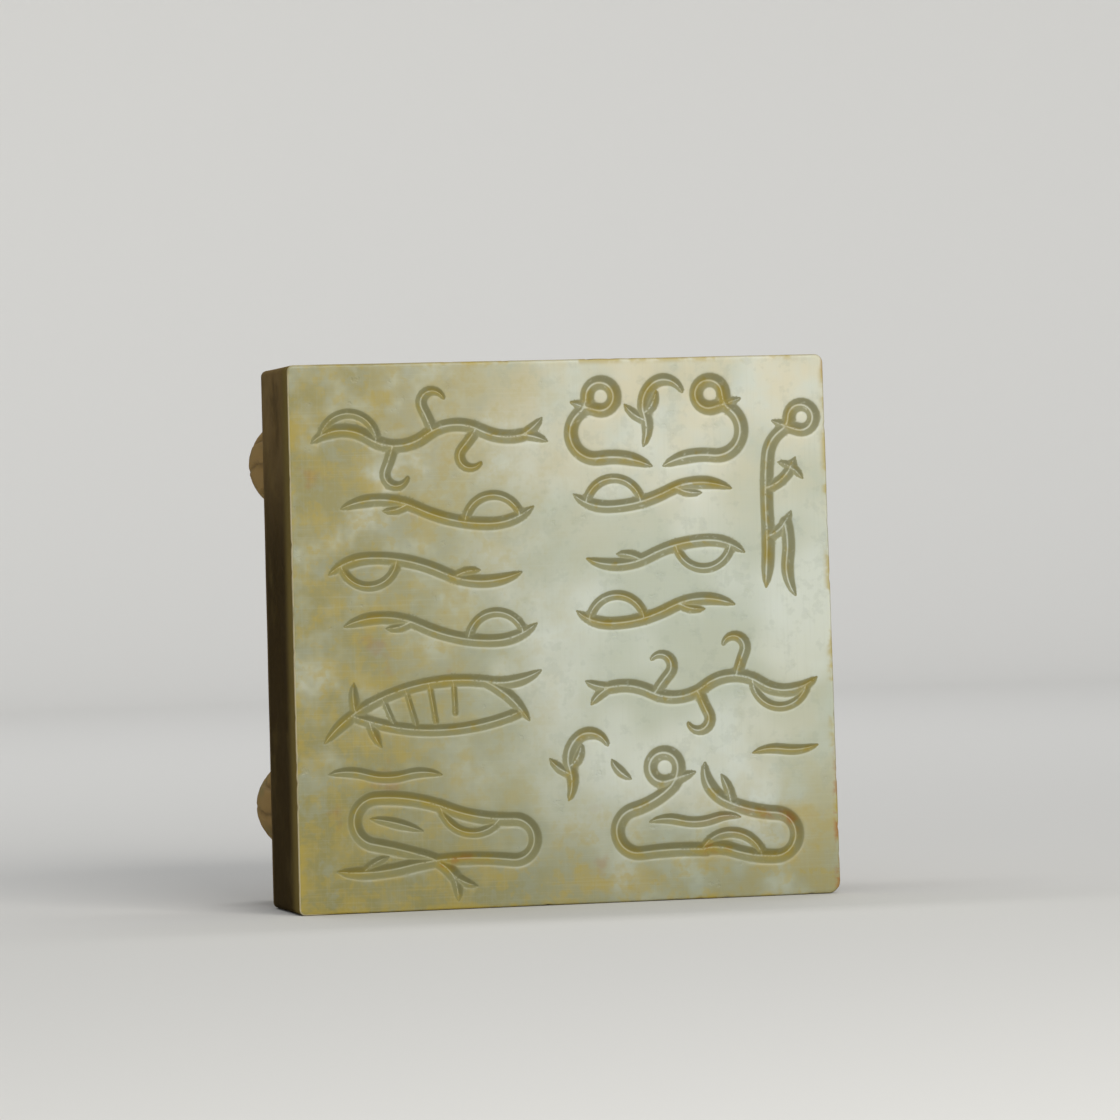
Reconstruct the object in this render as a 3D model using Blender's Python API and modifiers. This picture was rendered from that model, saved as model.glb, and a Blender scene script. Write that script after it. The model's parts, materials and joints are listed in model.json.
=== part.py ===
"""A carved jade seal stamp, lying on one side of its square block, as one solid.

The stamp face looks along -Y and is engraved with rows of ornamental strokes that are no letters.
The knob is a crouching beast on the block's back, with its head towards +Z, and a cord passes
under its belly. The origin is under the middle of the seal, on the surface that it lies on.
"""

import math
from collections import namedtuple

import bmesh
import bpy
from mathutils import Euler, Matrix, Vector

MM = 0.001

# Block
FACE_WIDTH = 71.0 * MM          # across the stamp face, half way up
FACE_HEIGHT = 70.0 * MM         # from the side that it lies on to the side on top
WIDTH_TAPER = 0.8 * MM          # how much wider the hand-cut block is below than on top
BLOCK_DEPTH = 20.0 * MM         # from the stamp face to the back that the knob stands on
SIDE_EDGE_RADIUS = 0.8 * MM     # the four edges that run from front to back
FACE_EDGE_RADIUS = 0.3 * MM     # the edge round the stamp face, left crisp for printing
BACK_EDGE_RADIUS = 1.0 * MM     # the edge round the back
EDGE_SEGMENTS = 3

# Engraving
GROOVE_WIDTH = 1.9 * MM         # of the widest strokes, at the face
GROOVE_DEPTH = 0.8 * MM
FACE_MARGIN = 2.4 * MM          # plain stone round the engraving
CUTTER_RISE = 0.5 * MM          # how far a cutter stands out of the face

# Knob
KNOB_HEIGHT = 30.0 * MM         # from the block's back to the top of the head
KNOB_SIDE_INSET = 0.8 * MM      # from the block's sides to the beast's shoulders
KNOB_END_INSET = 1.0 * MM       # from the block's ends to its muzzle and tail
SPINE_BEADS = 7
SCROLL_TURNS = 1.3              # of each of the tail's two scrolls
SCROLL_PIECES = 16

# The engraving is drawn on a grid of this many steps, which is fitted to the face
DRAWN_WIDTH = 66.2
DRAWN_HEIGHT = 65.2
ARC_PIECE = 27.0                # most degrees that one straight piece of a groove turns
LONG_PIECE = 3.0                # longest straight piece of a groove, in steps
TIP_LENGTH = 3.0                # over which a pointed stroke narrows, in steps
TIP_WIDTH = 0.18                # of a point, as a share of the stroke's width

# The beast is drawn on a grid of this many steps across, along and up, which is fitted to the knob
BEAST_GRID = Vector((69.4, 68.0, 30.0))

JADE = (0.36, 0.37, 0.24, 1.0)
JADE_ROUGHNESS = 0.32

FRONT = -(BLOCK_DEPTH + KNOB_HEIGHT) / 2
BACK = FRONT + BLOCK_DEPTH
MIDDLE = FACE_HEIGHT / 2

Stroke = namedtuple("Stroke", "start heading arcs width points_start points_end")


def clear_scene():
    for obj in list(bpy.data.objects):
        bpy.data.objects.remove(obj)


def new_collection(name, parent=None):
    collection = bpy.data.collections.new(name)
    (parent or bpy.context.scene.collection).children.link(collection)
    return collection


def add_object(name, mesh, collection, guide=True):
    obj = bpy.data.objects.new(name, mesh)
    collection.objects.link(obj)
    if guide:
        obj.hide_render = True
        obj.display_type = "WIRE"
    return obj


def mesh_from_curve(curve_object, collection):
    """Turn a curve into a closed mesh with its caps welded, and remove the curve."""
    bpy.context.view_layer.update()
    evaluated = curve_object.evaluated_get(bpy.context.evaluated_depsgraph_get())
    mesh = bpy.data.meshes.new_from_object(evaluated)
    name = curve_object.name
    place = curve_object.matrix_world.copy()
    bpy.data.objects.remove(curve_object)
    mesh.transform(place)
    body = bmesh.new()
    body.from_mesh(mesh)
    bmesh.ops.remove_doubles(body, verts=body.verts, dist=0.001 * MM)
    bmesh.ops.recalc_face_normals(body, faces=body.faces)
    body.to_mesh(mesh)
    body.free()
    return add_object(name, mesh, collection)


# Strokes: a start, a heading in degrees, and arcs, each a length and the degrees that it turns

def stroke(start, heading, arcs, width=1.0, ends="pointed pointed"):
    first, last = ends.split()
    return Stroke(start, heading, arcs, width, first == "pointed", last == "pointed")


def after(place, heading, length, turn):
    """The place and heading at the end of one arc."""
    half = math.radians(turn) / 2
    chord = length * math.sin(half) / half if turn else length
    way = math.radians(heading) + half
    return (place[0] + chord * math.cos(way), place[1] + chord * math.sin(way)), heading + turn


def stroke_length(host):
    return sum(length for length, turn in host.arcs)


def along(host, distance):
    """The place and heading on a stroke, this far along it."""
    place, heading = host.start, host.heading
    for length, turn in host.arcs:
        if distance <= length:
            return after(place, heading, distance, turn * distance / length)
        place, heading = after(place, heading, length, turn)
        distance -= length
    return place, heading


def stroke_points(host):
    """The corners of the groove, closer together where it bends."""
    place, heading = host.start, host.heading
    points = [place]
    for length, turn in host.arcs:
        pieces = max(math.ceil(abs(turn) / ARC_PIECE), math.ceil(length / LONG_PIECE))
        for _ in range(pieces):
            place, heading = after(place, heading, length / pieces, turn / pieces)
            points.append(place)
    return points


def branch(host, distance, angle, arcs, width=0.85, ends="blunt pointed"):
    place, heading = along(host, distance)
    return stroke(place, heading + angle, arcs, width, ends)


def leaf(host, first, last, side=1, rise=80, width=0.72):
    """An arc that leaves a stroke and comes back to it, round an island of stone."""
    (u0, v0), _ = along(host, first)
    (u1, v1), _ = along(host, last)
    radius = math.dist((u0, v0), (u1, v1)) / (2 * math.sin(math.radians(rise)))
    heading = math.degrees(math.atan2(v1 - v0, u1 - u0)) + side * rise
    return stroke((u0, v0), heading, [(2 * math.radians(rise) * radius, -2 * side * rise)], width, "blunt blunt")


def fork(host, length=3.4, spread=12, curl=30):
    """Two short prongs at the end of a stroke."""
    end = stroke_length(host)
    return [branch(host, end, side * spread, [(length, side * curl)], 0.8) for side in (1, -1)]


def arrow(host, length=3.8):
    """A curved bar across the end of a stroke, with a short point beyond it."""
    end = stroke_length(host)
    (u, v), heading = along(host, end)
    left = math.radians(heading + 90)
    base = (u + math.cos(left) * length / 2, v + math.sin(left) * length / 2)
    return [stroke(base, heading - 65, [(length * 1.05, -50)], 0.75), branch(host, end, 10, [(1.8, 0)], 0.7)]


def ring_head(side, length=9.4):
    """The arcs of a bird's head at a neck's end: a ring, and a beak that crosses the neck."""
    return [(length, side * 285), (3.6, side * 4)]


def moved(strokes, du, dv):
    return [s._replace(start=(s.start[0] + du, s.start[1] + dv)) for s in strokes]


def mirrored(strokes):
    return [s._replace(start=(-s.start[0], s.start[1]), heading=180 - s.heading,
                       arcs=[(length, -turn) for length, turn in s.arcs]) for s in strokes]


def turned(strokes):
    return [s._replace(start=(-s.start[0], -s.start[1]), heading=s.heading + 180) for s in strokes]


# Motifs, in drawing steps about their own middles

def bird_necks():
    half = [stroke((0.8, -6.0), 28, [(7.0, -36), (8.6, 150), (2.4, -52)] + ring_head(1, 9.0), 1.05)]
    return half + mirrored(half)


def vine():
    stem = stroke((-14.8, -1.6), 42, [(8, -76), (8, 70), (7.6, -64), (5.5, 40)], 1.0, "pointed blunt")
    hooks = [branch(stem, distance, side * 90 - 10, [(3.2, side * 10), (5.0, side * -190)])
             for distance, side in ((11.4, -1), (17.0, 1), (23.0, -1))]
    return [stem, leaf(stem, 1.6, 9.2, rise=84)] + fork(stem) + hooks


def fish():
    back = stroke((-14.6, -3.6), 50, [(8, -24), (17, -38)], 0.9, "pointed blunt")
    belly = stroke(along(back, 5.0)[0], -22, [(22.0, 42)], 0.85, "blunt blunt")
    tail = [branch(back, 24.6, 6, [(6.2, 36)], 0.95), branch(back, 23.4, -18, [(7.6, -34)], 0.95)]
    ribs = [branch(back, distance, -90, [(length, 0)], 0.45, "blunt blunt")
            for distance, length in ((9.5, 3.6), (12.7, 4.8), (15.9, 5.0), (19.1, 4.2))]
    fins = [branch(back, 5.6, 70, [(3.8, -20)], 0.8), branch(belly, 2.4, -60, [(3.6, 20)], 0.8)]
    return [back, belly] + tail + ribs + fins


def eel():
    body = stroke((-13.4, -5.0), -8, [(9, 20), (9, -14), (5.0, -6), (8.6, 188), (9, -22), (9.4, 24),
                                      (8.6, 166), (7.2, -6), (4.2, -36)], 1.0, "pointed blunt")
    return [body, leaf(body, 33.5, 41.5, rise=66), branch(body, 3.4, 46, [(3.8, -30)], 0.8)] + fork(body)


def ripples(stretch):
    def ripple():
        line = stroke((-11.2 * stretch, 1.0), -40,
                      [(5.0 * stretch, 40), (8.2 * stretch, 26), (8.6 * stretch, -50)], 0.95)
        return [line, leaf(line, 2.0, 9.4), branch(line, 14.4 * stretch, -50, [(3.4, 34)], 0.8)]
    return moved(ripple(), 0, 7.6) + moved(turned(ripple()), 0, 1.6) + moved(ripple(), 0, -7.4)


def reed():
    trunk = stroke((-1.8, -12.0), 82, [(9, 10), (8, -8), (4.0, -52), (2.0, 56)] + ring_head(-1, 8.2))
    twig = branch(trunk, 12.8, -74, [(4.0, 42)], ends="blunt blunt")
    leg = branch(trunk, 6.6, -78, [(3.2, 50), (1.4, 6)])
    foot = stroke(along(leg, 3.0)[0], -76, [(4.6, -24), (5.0, 40)], 0.95, "blunt pointed")
    return [trunk, twig, leg, foot] + arrow(twig)


def bud():
    stalk = stroke((-1.6, -4.6), 62, [(4.2, 46), (4.4, -70), (4.6, -110)], 0.95)
    return [stalk, branch(stalk, 3.4, 62, [(3.6, -34)], 0.8), branch(stalk, 4.4, -74, [(3.4, 60)], 0.8)]


def nest():
    left = stroke((-0.2, -4.6), 176, [(8.5, 10), (8.6, -172), (5.5, 26), (3.2, 50)] + ring_head(1),
                  1.05, "blunt pointed")
    right = stroke((-0.6, -4.6), 14, [(4, -34), (6, 20), (8.6, 176), (7.0, -22), (6.0, -70)],
                   1.05, "blunt pointed")
    barb = branch(right, stroke_length(right) - 6.8, -62, [(4.0, 30)], 0.8)
    return [left, right, leaf(right, 0.0, 8.2, rise=66, width=0.8), barb]


def inscription():
    """All strokes, in drawing steps from the middle of the face."""
    left_column = [(vine(), -17.6, 26.6), (mirrored(ripples(1.2)), -17.2, 7.6),
                   (fish(), -17.2, -9.6), (eel(), -17.2, -24.6)]
    right_column = [(bird_necks(), 12.8, 27.0), (ripples(1.0), 12.8, 9.0), (reed(), 28.6, 17.0),
                    (turned(vine()), 18.4, -8.5), (bud(), 1.4, -17.0), (nest(), 18.0, -24.0)]
    return [s for motif, u, v in left_column + right_column for s in moved(motif, u, v)]


def groove_profile():
    """A V that is as wide as the groove at the face, and goes on to the cutter's top."""
    top_half_width = GROOVE_WIDTH / 2 * (GROOVE_DEPTH + CUTTER_RISE) / GROOVE_DEPTH
    curve = bpy.data.curves.new("groove_profile", "CURVE")
    curve.dimensions = "2D"
    spline = curve.splines.new("POLY")
    corners = ((0.0, -GROOVE_DEPTH), (top_half_width, CUTTER_RISE), (-top_half_width, CUTTER_RISE))
    spline.points.add(len(corners) - 1)
    for point, (across, up) in zip(spline.points, corners):
        point.co = (across, up, 0.0, 1.0)
    spline.use_cyclic_u = True
    return curve


def groove_share(host, distance):
    """The groove's size this far along a stroke, which narrows and rises to a point."""
    reach = min(TIP_LENGTH, stroke_length(host) / 2)
    share = 1.0
    if host.points_start:
        share = min(share, TIP_WIDTH + (1 - TIP_WIDTH) * distance / reach)
    if host.points_end:
        share = min(share, TIP_WIDTH + (1 - TIP_WIDTH) * (stroke_length(host) - distance) / reach)
    return host.width * share


def make_groove_cutters(collection):
    profile = add_object("groove_profile", groove_profile(), collection)
    step_u = (FACE_WIDTH - 2 * FACE_MARGIN) / DRAWN_WIDTH
    step_v = (FACE_HEIGHT - 2 * FACE_MARGIN) / DRAWN_HEIGHT
    place = Matrix.Translation((0, FRONT, MIDDLE)) @ Euler((math.radians(90), 0, 0)).to_matrix().to_4x4()
    for number, host in enumerate(inscription()):
        curve = bpy.data.curves.new(f"groove_{number:02d}", "CURVE")
        curve.dimensions = "2D"
        curve.bevel_mode = "OBJECT"
        curve.bevel_object = profile
        curve.use_fill_caps = True
        points = stroke_points(host)
        spline = curve.splines.new("POLY")
        spline.points.add(len(points) - 1)
        distance = 0.0
        last = points[0]
        for point, (u, v) in zip(spline.points, points):
            distance = min(distance + math.dist(last, (u, v)), stroke_length(host))
            point.co = (u * step_u, v * step_v, 0.0, 1.0)
            point.radius = groove_share(host, distance)
            last = (u, v)
        cutter = add_object(f"groove_{number:02d}", curve, collection)
        cutter.matrix_world = place
        mesh_from_curve(cutter, collection)
    bpy.data.objects.remove(profile)


# The beast: round masses and limbs on its own grid, across, along towards the head, and up

def beast_frame():
    """From the beast's grid to the seal: across is X, along is Z and up is Y."""
    fit_across = (FACE_WIDTH - 2 * KNOB_SIDE_INSET) / BEAST_GRID.x
    fit_along = (FACE_HEIGHT - 2 * KNOB_END_INSET) / BEAST_GRID.y
    fit_up = KNOB_HEIGHT / BEAST_GRID.z
    return Matrix(((fit_across, 0, 0, 0), (0, 0, fit_up, BACK), (0, fit_along, 0, MIDDLE), (0, 0, 0, 1)))


def add_mass(collection, name, centre, radii, turn=(0, 0, 0), sides=12, rows=8):
    """An ellipsoid; turn is in degrees about the across, along and up axes."""
    spin = Euler([math.radians(angle) for angle in turn]).to_matrix().to_4x4()
    place = beast_frame() @ Matrix.Translation(centre) @ spin @ Matrix.Diagonal((*radii, 1.0))
    body = bmesh.new()
    bmesh.ops.create_uvsphere(body, u_segments=sides, v_segments=rows, radius=1.0, matrix=place)
    bmesh.ops.recalc_face_normals(body, faces=body.faces)
    mesh = bpy.data.meshes.new(name)
    body.to_mesh(mesh)
    body.free()
    return add_object(name, mesh, collection)


def add_limb(collection, name, route, bevel_resolution=3):
    """A tube along a route of places with radii."""
    curve = bpy.data.curves.new(name, "CURVE")
    curve.dimensions = "3D"
    curve.bevel_depth = 1.0
    curve.bevel_resolution = bevel_resolution
    curve.use_fill_caps = True
    spline = curve.splines.new("POLY")
    spline.points.add(len(route) - 1)
    for point, (across, ahead, up, radius) in zip(spline.points, route):
        point.co = (across, ahead, up, 1.0)
        point.radius = radius
    limb = add_object(name, curve, collection)
    limb.matrix_world = beast_frame()
    return mesh_from_curve(limb, collection)


def smooth_route(keys, pieces):
    """Catmull-Rom points through the keys, which are places with radii."""
    padded = [keys[0]] + list(keys) + [keys[-1]]
    route = []
    for before, start, end, beyond in zip(padded, padded[1:], padded[2:], padded[3:]):
        for piece in range(pieces):
            t = piece / pieces
            route.append([0.5 * (2 * b + (c - a) * t + (2 * a - 5 * b + 4 * c - d) * t ** 2
                                 + (3 * b - a - 3 * c + d) * t ** 3)
                          for a, b, c, d in zip(before, start, end, beyond)])
    return route + [list(keys[-1])]


TRUNK = ((0, -27, 8, 7.5), (0, -20, 10.5, 11), (0, -9, 14.5, 9.2), (0, 0, 15.8, 8.2),
         (0, 9, 14.8, 9.8), (0, 16, 15.0, 11.2), (0, 23, 18.5, 9.0))


def add_trunk(collection):
    add_limb(collection, "trunk", smooth_route(TRUNK, 2), 4)
    add_mass(collection, "rump", (0, -24, 8), (13, 9.0, 10))
    add_mass(collection, "breast", (0, 19, 7), (13, 8.5, 9))


def add_spine(collection):
    """A row of beads along the back, smaller towards the tail."""
    route = smooth_route(TRUNK, 4)
    for bead in range(SPINE_BEADS):
        share = (bead + 0.5) / SPINE_BEADS
        across, ahead, up, radius = route[round((0.16 + 0.56 * share) * (len(route) - 1))]
        size = 1.7 + 0.7 * share
        add_mass(collection, f"spine_{bead}", (0, ahead, up + radius - 0.2), (size, 1.9, 1.3), sides=8, rows=6)


def add_head(collection):
    add_mass(collection, "skull", (0, 24.4, 20.6), (9.4, 8.2, 8.6), sides=14, rows=10)
    add_mass(collection, "muzzle", (0, 29.0, 16.2), (6.6, 4.9, 4.8))
    add_mass(collection, "nose", (0, 32.0, 19.6), (2.7, 1.9, 1.9), sides=10, rows=6)
    add_mass(collection, "crest", (0, 18.6, 25.6), (3.4, 6.4, 4.3), (12, 0, 0), sides=10)
    add_mass(collection, "jaw", (0, 27.4, 11.4), (5.4, 4.6, 3.0), sides=10, rows=6)
    for side, word in ((-1, "left"), (1, "right")):
        add_mass(collection, f"brow_{word}", (side * 4.4, 27.6, 26.2), (3.5, 2.6, 1.9), (0, side * 24, side * 16),
                 sides=10, rows=6)
        add_mass(collection, f"eye_{word}", (side * 4.6, 30.2, 23.2), (2.1, 1.8, 2.1), sides=10, rows=6)
        add_mass(collection, f"ear_{word}", (side * 9.0, 19.8, 24.4), (2.4, 4.8, 3.2), (22, side * 30, 0),
                 sides=10, rows=6)
        add_mass(collection, f"cheek_{word}", (side * 8.4, 25.6, 16.2), (3.6, 3.8, 4.4), sides=10, rows=6)
        add_mass(collection, f"mane_{word}", (side * 9.4, 18.2, 17.6), (3.8, 4.0, 5.0), sides=10, rows=6)


def add_legs(collection):
    for side, word in ((-1, "left"), (1, "right")):
        add_mass(collection, f"shoulder_{word}", (side * 11, 20.0, 13.2), (16.5, 7.2, 9.2), (0, 0, side * 8))
        add_mass(collection, f"elbow_{word}", (side * 22.8, 22.9, 12.7), (12.0, 8.3, 8.8), sides=14)
        add_mass(collection, f"haunch_{word}", (side * 11, -24.0, 12.6), (17.0, 8.4, 9.8), (0, 0, side * 4))
        add_mass(collection, f"knee_{word}", (side * 22.8, -22.3, 13.8), (12.1, 8.3, 9.0), sides=14)
        add_limb(collection, f"forearm_{word}",
                 [(side * 29, 20, 6, 4.2), (side * 27.5, 25, 4.6, 4.2), (side * 24, 28.6, 3.0, 3.8)])
        add_limb(collection, f"shin_{word}",
                 [(side * 29, -21, 7, 4.6), (side * 29, -15, 4.6, 4.2), (side * 26.4, -9.5, 2.6, 3.7)])
        for toe in (-1, 0, 1):
            add_mass(collection, f"fore_toe_{word}_{toe + 1}", (side * (23.4 + 3.6 * toe), 30.6 - abs(toe) * 0.9, 1.9),
                     (1.9, 3.1, 2.6), (0, 0, -side * toe * 10), sides=8, rows=6)
            add_mass(collection, f"hind_toe_{word}_{toe + 1}", (side * (26.0 + 3.6 * toe), -7.2 - abs(toe) * 0.9, 1.9),
                     (1.9, 3.1, 2.6), (0, 0, -side * toe * 10), sides=8, rows=6)


def add_tail(collection):
    """The tail comes up over the rump and parts into two scrolls that lie on the haunches."""
    root = ((0, -30.0, 4, 3.4), (0, -32.0, 11, 3.0), (0, -30.0, 18.0, 2.9), (0, -24.5, 21.6, 2.7), (0, -17.0, 23.4, 2.0))
    add_limb(collection, "tail_root", smooth_route(root, 2), 2)
    for side, word in ((-1, "left"), (1, "right")):
        route = []
        for piece in range(SCROLL_PIECES + 1):
            share = piece / SCROLL_PIECES
            angle = 2 * math.pi * SCROLL_TURNS * share
            reach = 6.4 * (1 - 0.74 * share)
            across = 7.0 - reach * math.cos(angle)
            ahead = -21.0 + reach * math.sin(angle)
            up = 21.8 - 0.012 * across ** 2
            route.append((side * across, ahead, up, 2.3 * (1 - 0.3 * share)))
        add_limb(collection, f"scroll_{word}", route, 2)


def make_beast(collection):
    add_trunk(collection)
    add_spine(collection)
    add_head(collection)
    add_legs(collection)
    add_tail(collection)


def jade_material():
    material = bpy.data.materials.new("jade")
    material.use_nodes = True
    shader = material.node_tree.nodes["Principled BSDF"]
    shader.inputs["Base Color"].default_value = JADE
    shader.inputs["Roughness"].default_value = JADE_ROUGHNESS
    shader.inputs["Metallic"].default_value = 0.0
    return material


def edge_radius(edge):
    """The rounding of one edge of the plain block, by which faces it joins."""
    first, last = (vert.co for vert in edge.verts)
    if abs(first.y - last.y) > BLOCK_DEPTH / 2:
        return SIDE_EDGE_RADIUS
    return FACE_EDGE_RADIUS if first.y < (FRONT + BACK) / 2 else BACK_EDGE_RADIUS


def make_block(collection):
    body = bmesh.new()
    size = Matrix.Diagonal((FACE_WIDTH, BLOCK_DEPTH, FACE_HEIGHT, 1.0))
    bmesh.ops.create_cube(body, size=1.0, matrix=Matrix.Translation((0, (FRONT + BACK) / 2, MIDDLE)) @ size)
    for vert in body.verts:
        vert.co.x += math.copysign(WIDTH_TAPER / 4, vert.co.x) * (1 if vert.co.z < MIDDLE else -1)
    weights = body.edges.layers.float.new("bevel_weight_edge")
    widest = max(SIDE_EDGE_RADIUS, FACE_EDGE_RADIUS, BACK_EDGE_RADIUS)
    for edge in body.edges:
        edge[weights] = edge_radius(edge) / widest
    mesh = bpy.data.meshes.new("jade_seal")
    body.to_mesh(mesh)
    body.free()
    mesh.materials.append(jade_material())
    block = add_object("jade_seal", mesh, collection, guide=False)
    rounding = block.modifiers.new("rounded edges", "BEVEL")
    rounding.limit_method = "WEIGHT"
    rounding.width = widest
    rounding.segments = EDGE_SEGMENTS
    return block


def combine(block, name, operation, operands):
    step = block.modifiers.new(name, "BOOLEAN")
    step.operation = operation
    step.operand_type = "COLLECTION"
    step.collection = operands
    step.solver = "EXACT"
    step.use_self = True
    return step


def main():
    clear_scene()
    parts = new_collection("jade_seal_stamp")
    cutters = new_collection("cutters")
    masses = new_collection("beast_masses", cutters)
    grooves = new_collection("groove_cutters", cutters)
    make_beast(masses)
    make_groove_cutters(grooves)
    block = make_block(parts)
    combine(block, "knob", "UNION", masses)
    combine(block, "engraving", "DIFFERENCE", grooves)


main()
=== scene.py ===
# %% [markdown]
# # A jade seal stamp
# A square block of nephrite lies on one side, so that its engraved stamp face looks at the reader.
# A crouching beast is carved on its back from the same stone, as a grip for the fingers and a cord.
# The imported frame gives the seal's outer box, and every place below is worked out from that box,
# so this script can refine the surface but can't move or resize the seal.

# %% Load the frame
import json
import math
from collections import namedtuple

import bmesh
import bpy
import numpy as np
from mathutils import Euler, Matrix, Vector, geometry, noise
from mathutils.bvhtree import BVHTree
from mathutils.kdtree import KDTree

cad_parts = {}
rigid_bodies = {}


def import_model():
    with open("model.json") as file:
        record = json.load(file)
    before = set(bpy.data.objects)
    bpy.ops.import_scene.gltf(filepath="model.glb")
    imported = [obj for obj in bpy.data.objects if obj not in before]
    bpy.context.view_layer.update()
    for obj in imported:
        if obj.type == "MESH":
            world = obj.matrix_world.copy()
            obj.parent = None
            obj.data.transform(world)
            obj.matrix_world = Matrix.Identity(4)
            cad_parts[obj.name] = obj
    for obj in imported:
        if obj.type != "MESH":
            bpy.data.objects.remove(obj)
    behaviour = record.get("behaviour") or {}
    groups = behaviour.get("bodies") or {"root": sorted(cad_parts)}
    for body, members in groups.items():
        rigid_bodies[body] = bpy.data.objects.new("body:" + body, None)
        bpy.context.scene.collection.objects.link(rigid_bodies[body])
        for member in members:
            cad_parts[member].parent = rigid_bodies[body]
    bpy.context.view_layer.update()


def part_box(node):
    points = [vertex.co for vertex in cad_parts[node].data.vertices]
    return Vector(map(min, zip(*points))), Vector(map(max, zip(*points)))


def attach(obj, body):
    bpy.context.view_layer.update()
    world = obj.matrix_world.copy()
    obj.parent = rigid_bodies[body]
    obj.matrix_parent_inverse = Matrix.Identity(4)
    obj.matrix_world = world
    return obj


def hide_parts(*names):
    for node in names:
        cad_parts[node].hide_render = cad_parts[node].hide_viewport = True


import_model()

# %% [markdown]
# ## Sizes
# The box gives the seal's width, height and whole depth. Only what a box can't say is typed here,
# in millimetres: how deep the block is, how its edges are rounded and how the grooves are cut.

# %% Sizes
MM = 0.001
low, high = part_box("jade_seal")

WIDTH_TAPER = 0.8 * MM          # how much wider the block is below than on top
BLOCK_DEPTH = 20.0 * MM
SIDE_EDGE_RADIUS = 0.8 * MM     # the four edges that run from front to back
FACE_EDGE_RADIUS = 0.3 * MM     # the edge round the stamp face
BACK_EDGE_RADIUS = 1.0 * MM     # the edge round the back
GROOVE_WIDTH = 1.9 * MM         # of the widest strokes
GROOVE_DEPTH = 0.8 * MM
FACE_MARGIN = 2.4 * MM          # plain stone round the engraving
KNOB_SIDE_INSET = 0.8 * MM
KNOB_END_INSET = 1.0 * MM

FACE_WIDTH = high[0] - low[0] - WIDTH_TAPER / 2
FACE_HEIGHT = high[2] - low[2]
KNOB_HEIGHT = high[1] - low[1] - BLOCK_DEPTH
FRONT = low[1]
BACK = FRONT + BLOCK_DEPTH
MIDDLE = FACE_HEIGHT / 2
print(f"face {FACE_WIDTH / MM:.1f} by {FACE_HEIGHT / MM:.1f} mm, knob {KNOB_HEIGHT / MM:.1f} mm high")

# %% [markdown]
# ## Strokes
# The seal's cutter drew each stroke with one sweep of the wheel: it starts in a direction and then
# runs along arcs. So a stroke is a start, a heading and a list of arcs, each a length and the degrees
# that it turns. That needs a dozen numbers where a list of points would need hundreds, and the same
# few words place a branch, a leaf or a forked tail on any stroke.

# %% Stroke helpers
DRAWN_WIDTH = 66.2              # steps of the drawing's grid across the face
DRAWN_HEIGHT = 65.2
ARC_PIECE = 7.0                 # most degrees that one straight piece turns
LONG_PIECE = 0.9                # longest straight piece, in steps
TIP_LENGTH = 3.0                # over which a pointed stroke narrows, in steps
TIP_WIDTH = 0.18                # of a point, as a share of the stroke's width
TIP_BULGE = 0.5                 # how soon a point fills out: 1 is a straight needle, less is plumper

Stroke = namedtuple("Stroke", "start heading arcs width points_start points_end")


def stroke(start, heading, arcs, width=1.0, ends="pointed pointed"):
    first, last = ends.split()
    return Stroke(start, heading, arcs, width, first == "pointed", last == "pointed")


def after(place, heading, length, turn):
    """The place and heading at the end of one arc."""
    half = math.radians(turn) / 2
    chord = length * math.sin(half) / half if turn else length
    way = math.radians(heading) + half
    return (place[0] + chord * math.cos(way), place[1] + chord * math.sin(way)), heading + turn


def stroke_length(host):
    return sum(length for length, turn in host.arcs)


def along(host, distance):
    """The place and heading on a stroke, this far along it."""
    place, heading = host.start, host.heading
    for length, turn in host.arcs:
        if distance <= length:
            return after(place, heading, distance, turn * distance / length)
        place, heading = after(place, heading, length, turn)
        distance -= length
    return place, heading


def stroke_points(host):
    """Points along a stroke, closer together where it bends."""
    place, heading = host.start, host.heading
    points = [place]
    for length, turn in host.arcs:
        pieces = max(math.ceil(abs(turn) / ARC_PIECE), math.ceil(length / LONG_PIECE))
        for _ in range(pieces):
            place, heading = after(place, heading, length / pieces, turn / pieces)
            points.append(place)
    return points


def groove_share(host, distance):
    """The groove's size this far along a stroke, which narrows and rises to a point."""
    reach = min(TIP_LENGTH, stroke_length(host) / 2)
    share = 1.0
    if host.points_start:
        share = min(share, TIP_WIDTH + (1 - TIP_WIDTH) * min(1.0, distance / reach) ** TIP_BULGE)
    if host.points_end:
        left = stroke_length(host) - distance
        share = min(share, TIP_WIDTH + (1 - TIP_WIDTH) * max(0.0, min(1.0, left / reach)) ** TIP_BULGE)
    return host.width * share


def branch(host, distance, angle, arcs, width=0.85, ends="blunt pointed"):
    place, heading = along(host, distance)
    return stroke(place, heading + angle, arcs, width, ends)


def leaf(host, first, last, side=1, rise=80, width=0.72):
    """An arc that leaves a stroke and comes back to it, round an island of stone."""
    (u0, v0), _ = along(host, first)
    (u1, v1), _ = along(host, last)
    radius = math.dist((u0, v0), (u1, v1)) / (2 * math.sin(math.radians(rise)))
    heading = math.degrees(math.atan2(v1 - v0, u1 - u0)) + side * rise
    arc = (2 * math.radians(rise) * radius, -2 * side * rise)
    return stroke((u0, v0), heading, [arc], width, "blunt blunt")


def fork(host, length=3.4, spread=12, curl=30):
    """Two short prongs at the end of a stroke."""
    end = stroke_length(host)
    return [branch(host, end, side * spread, [(length, side * curl)], 0.8) for side in (1, -1)]


def arrow(host, length=3.8):
    """A curved bar across the end of a stroke, with a short point beyond it."""
    end = stroke_length(host)
    (u, v), heading = along(host, end)
    left = math.radians(heading + 90)
    base = (u + math.cos(left) * length / 2, v + math.sin(left) * length / 2)
    return [stroke(base, heading - 65, [(length * 1.05, -50)], 0.75), branch(host, end, 10, [(1.8, 0)], 0.7)]


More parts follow.
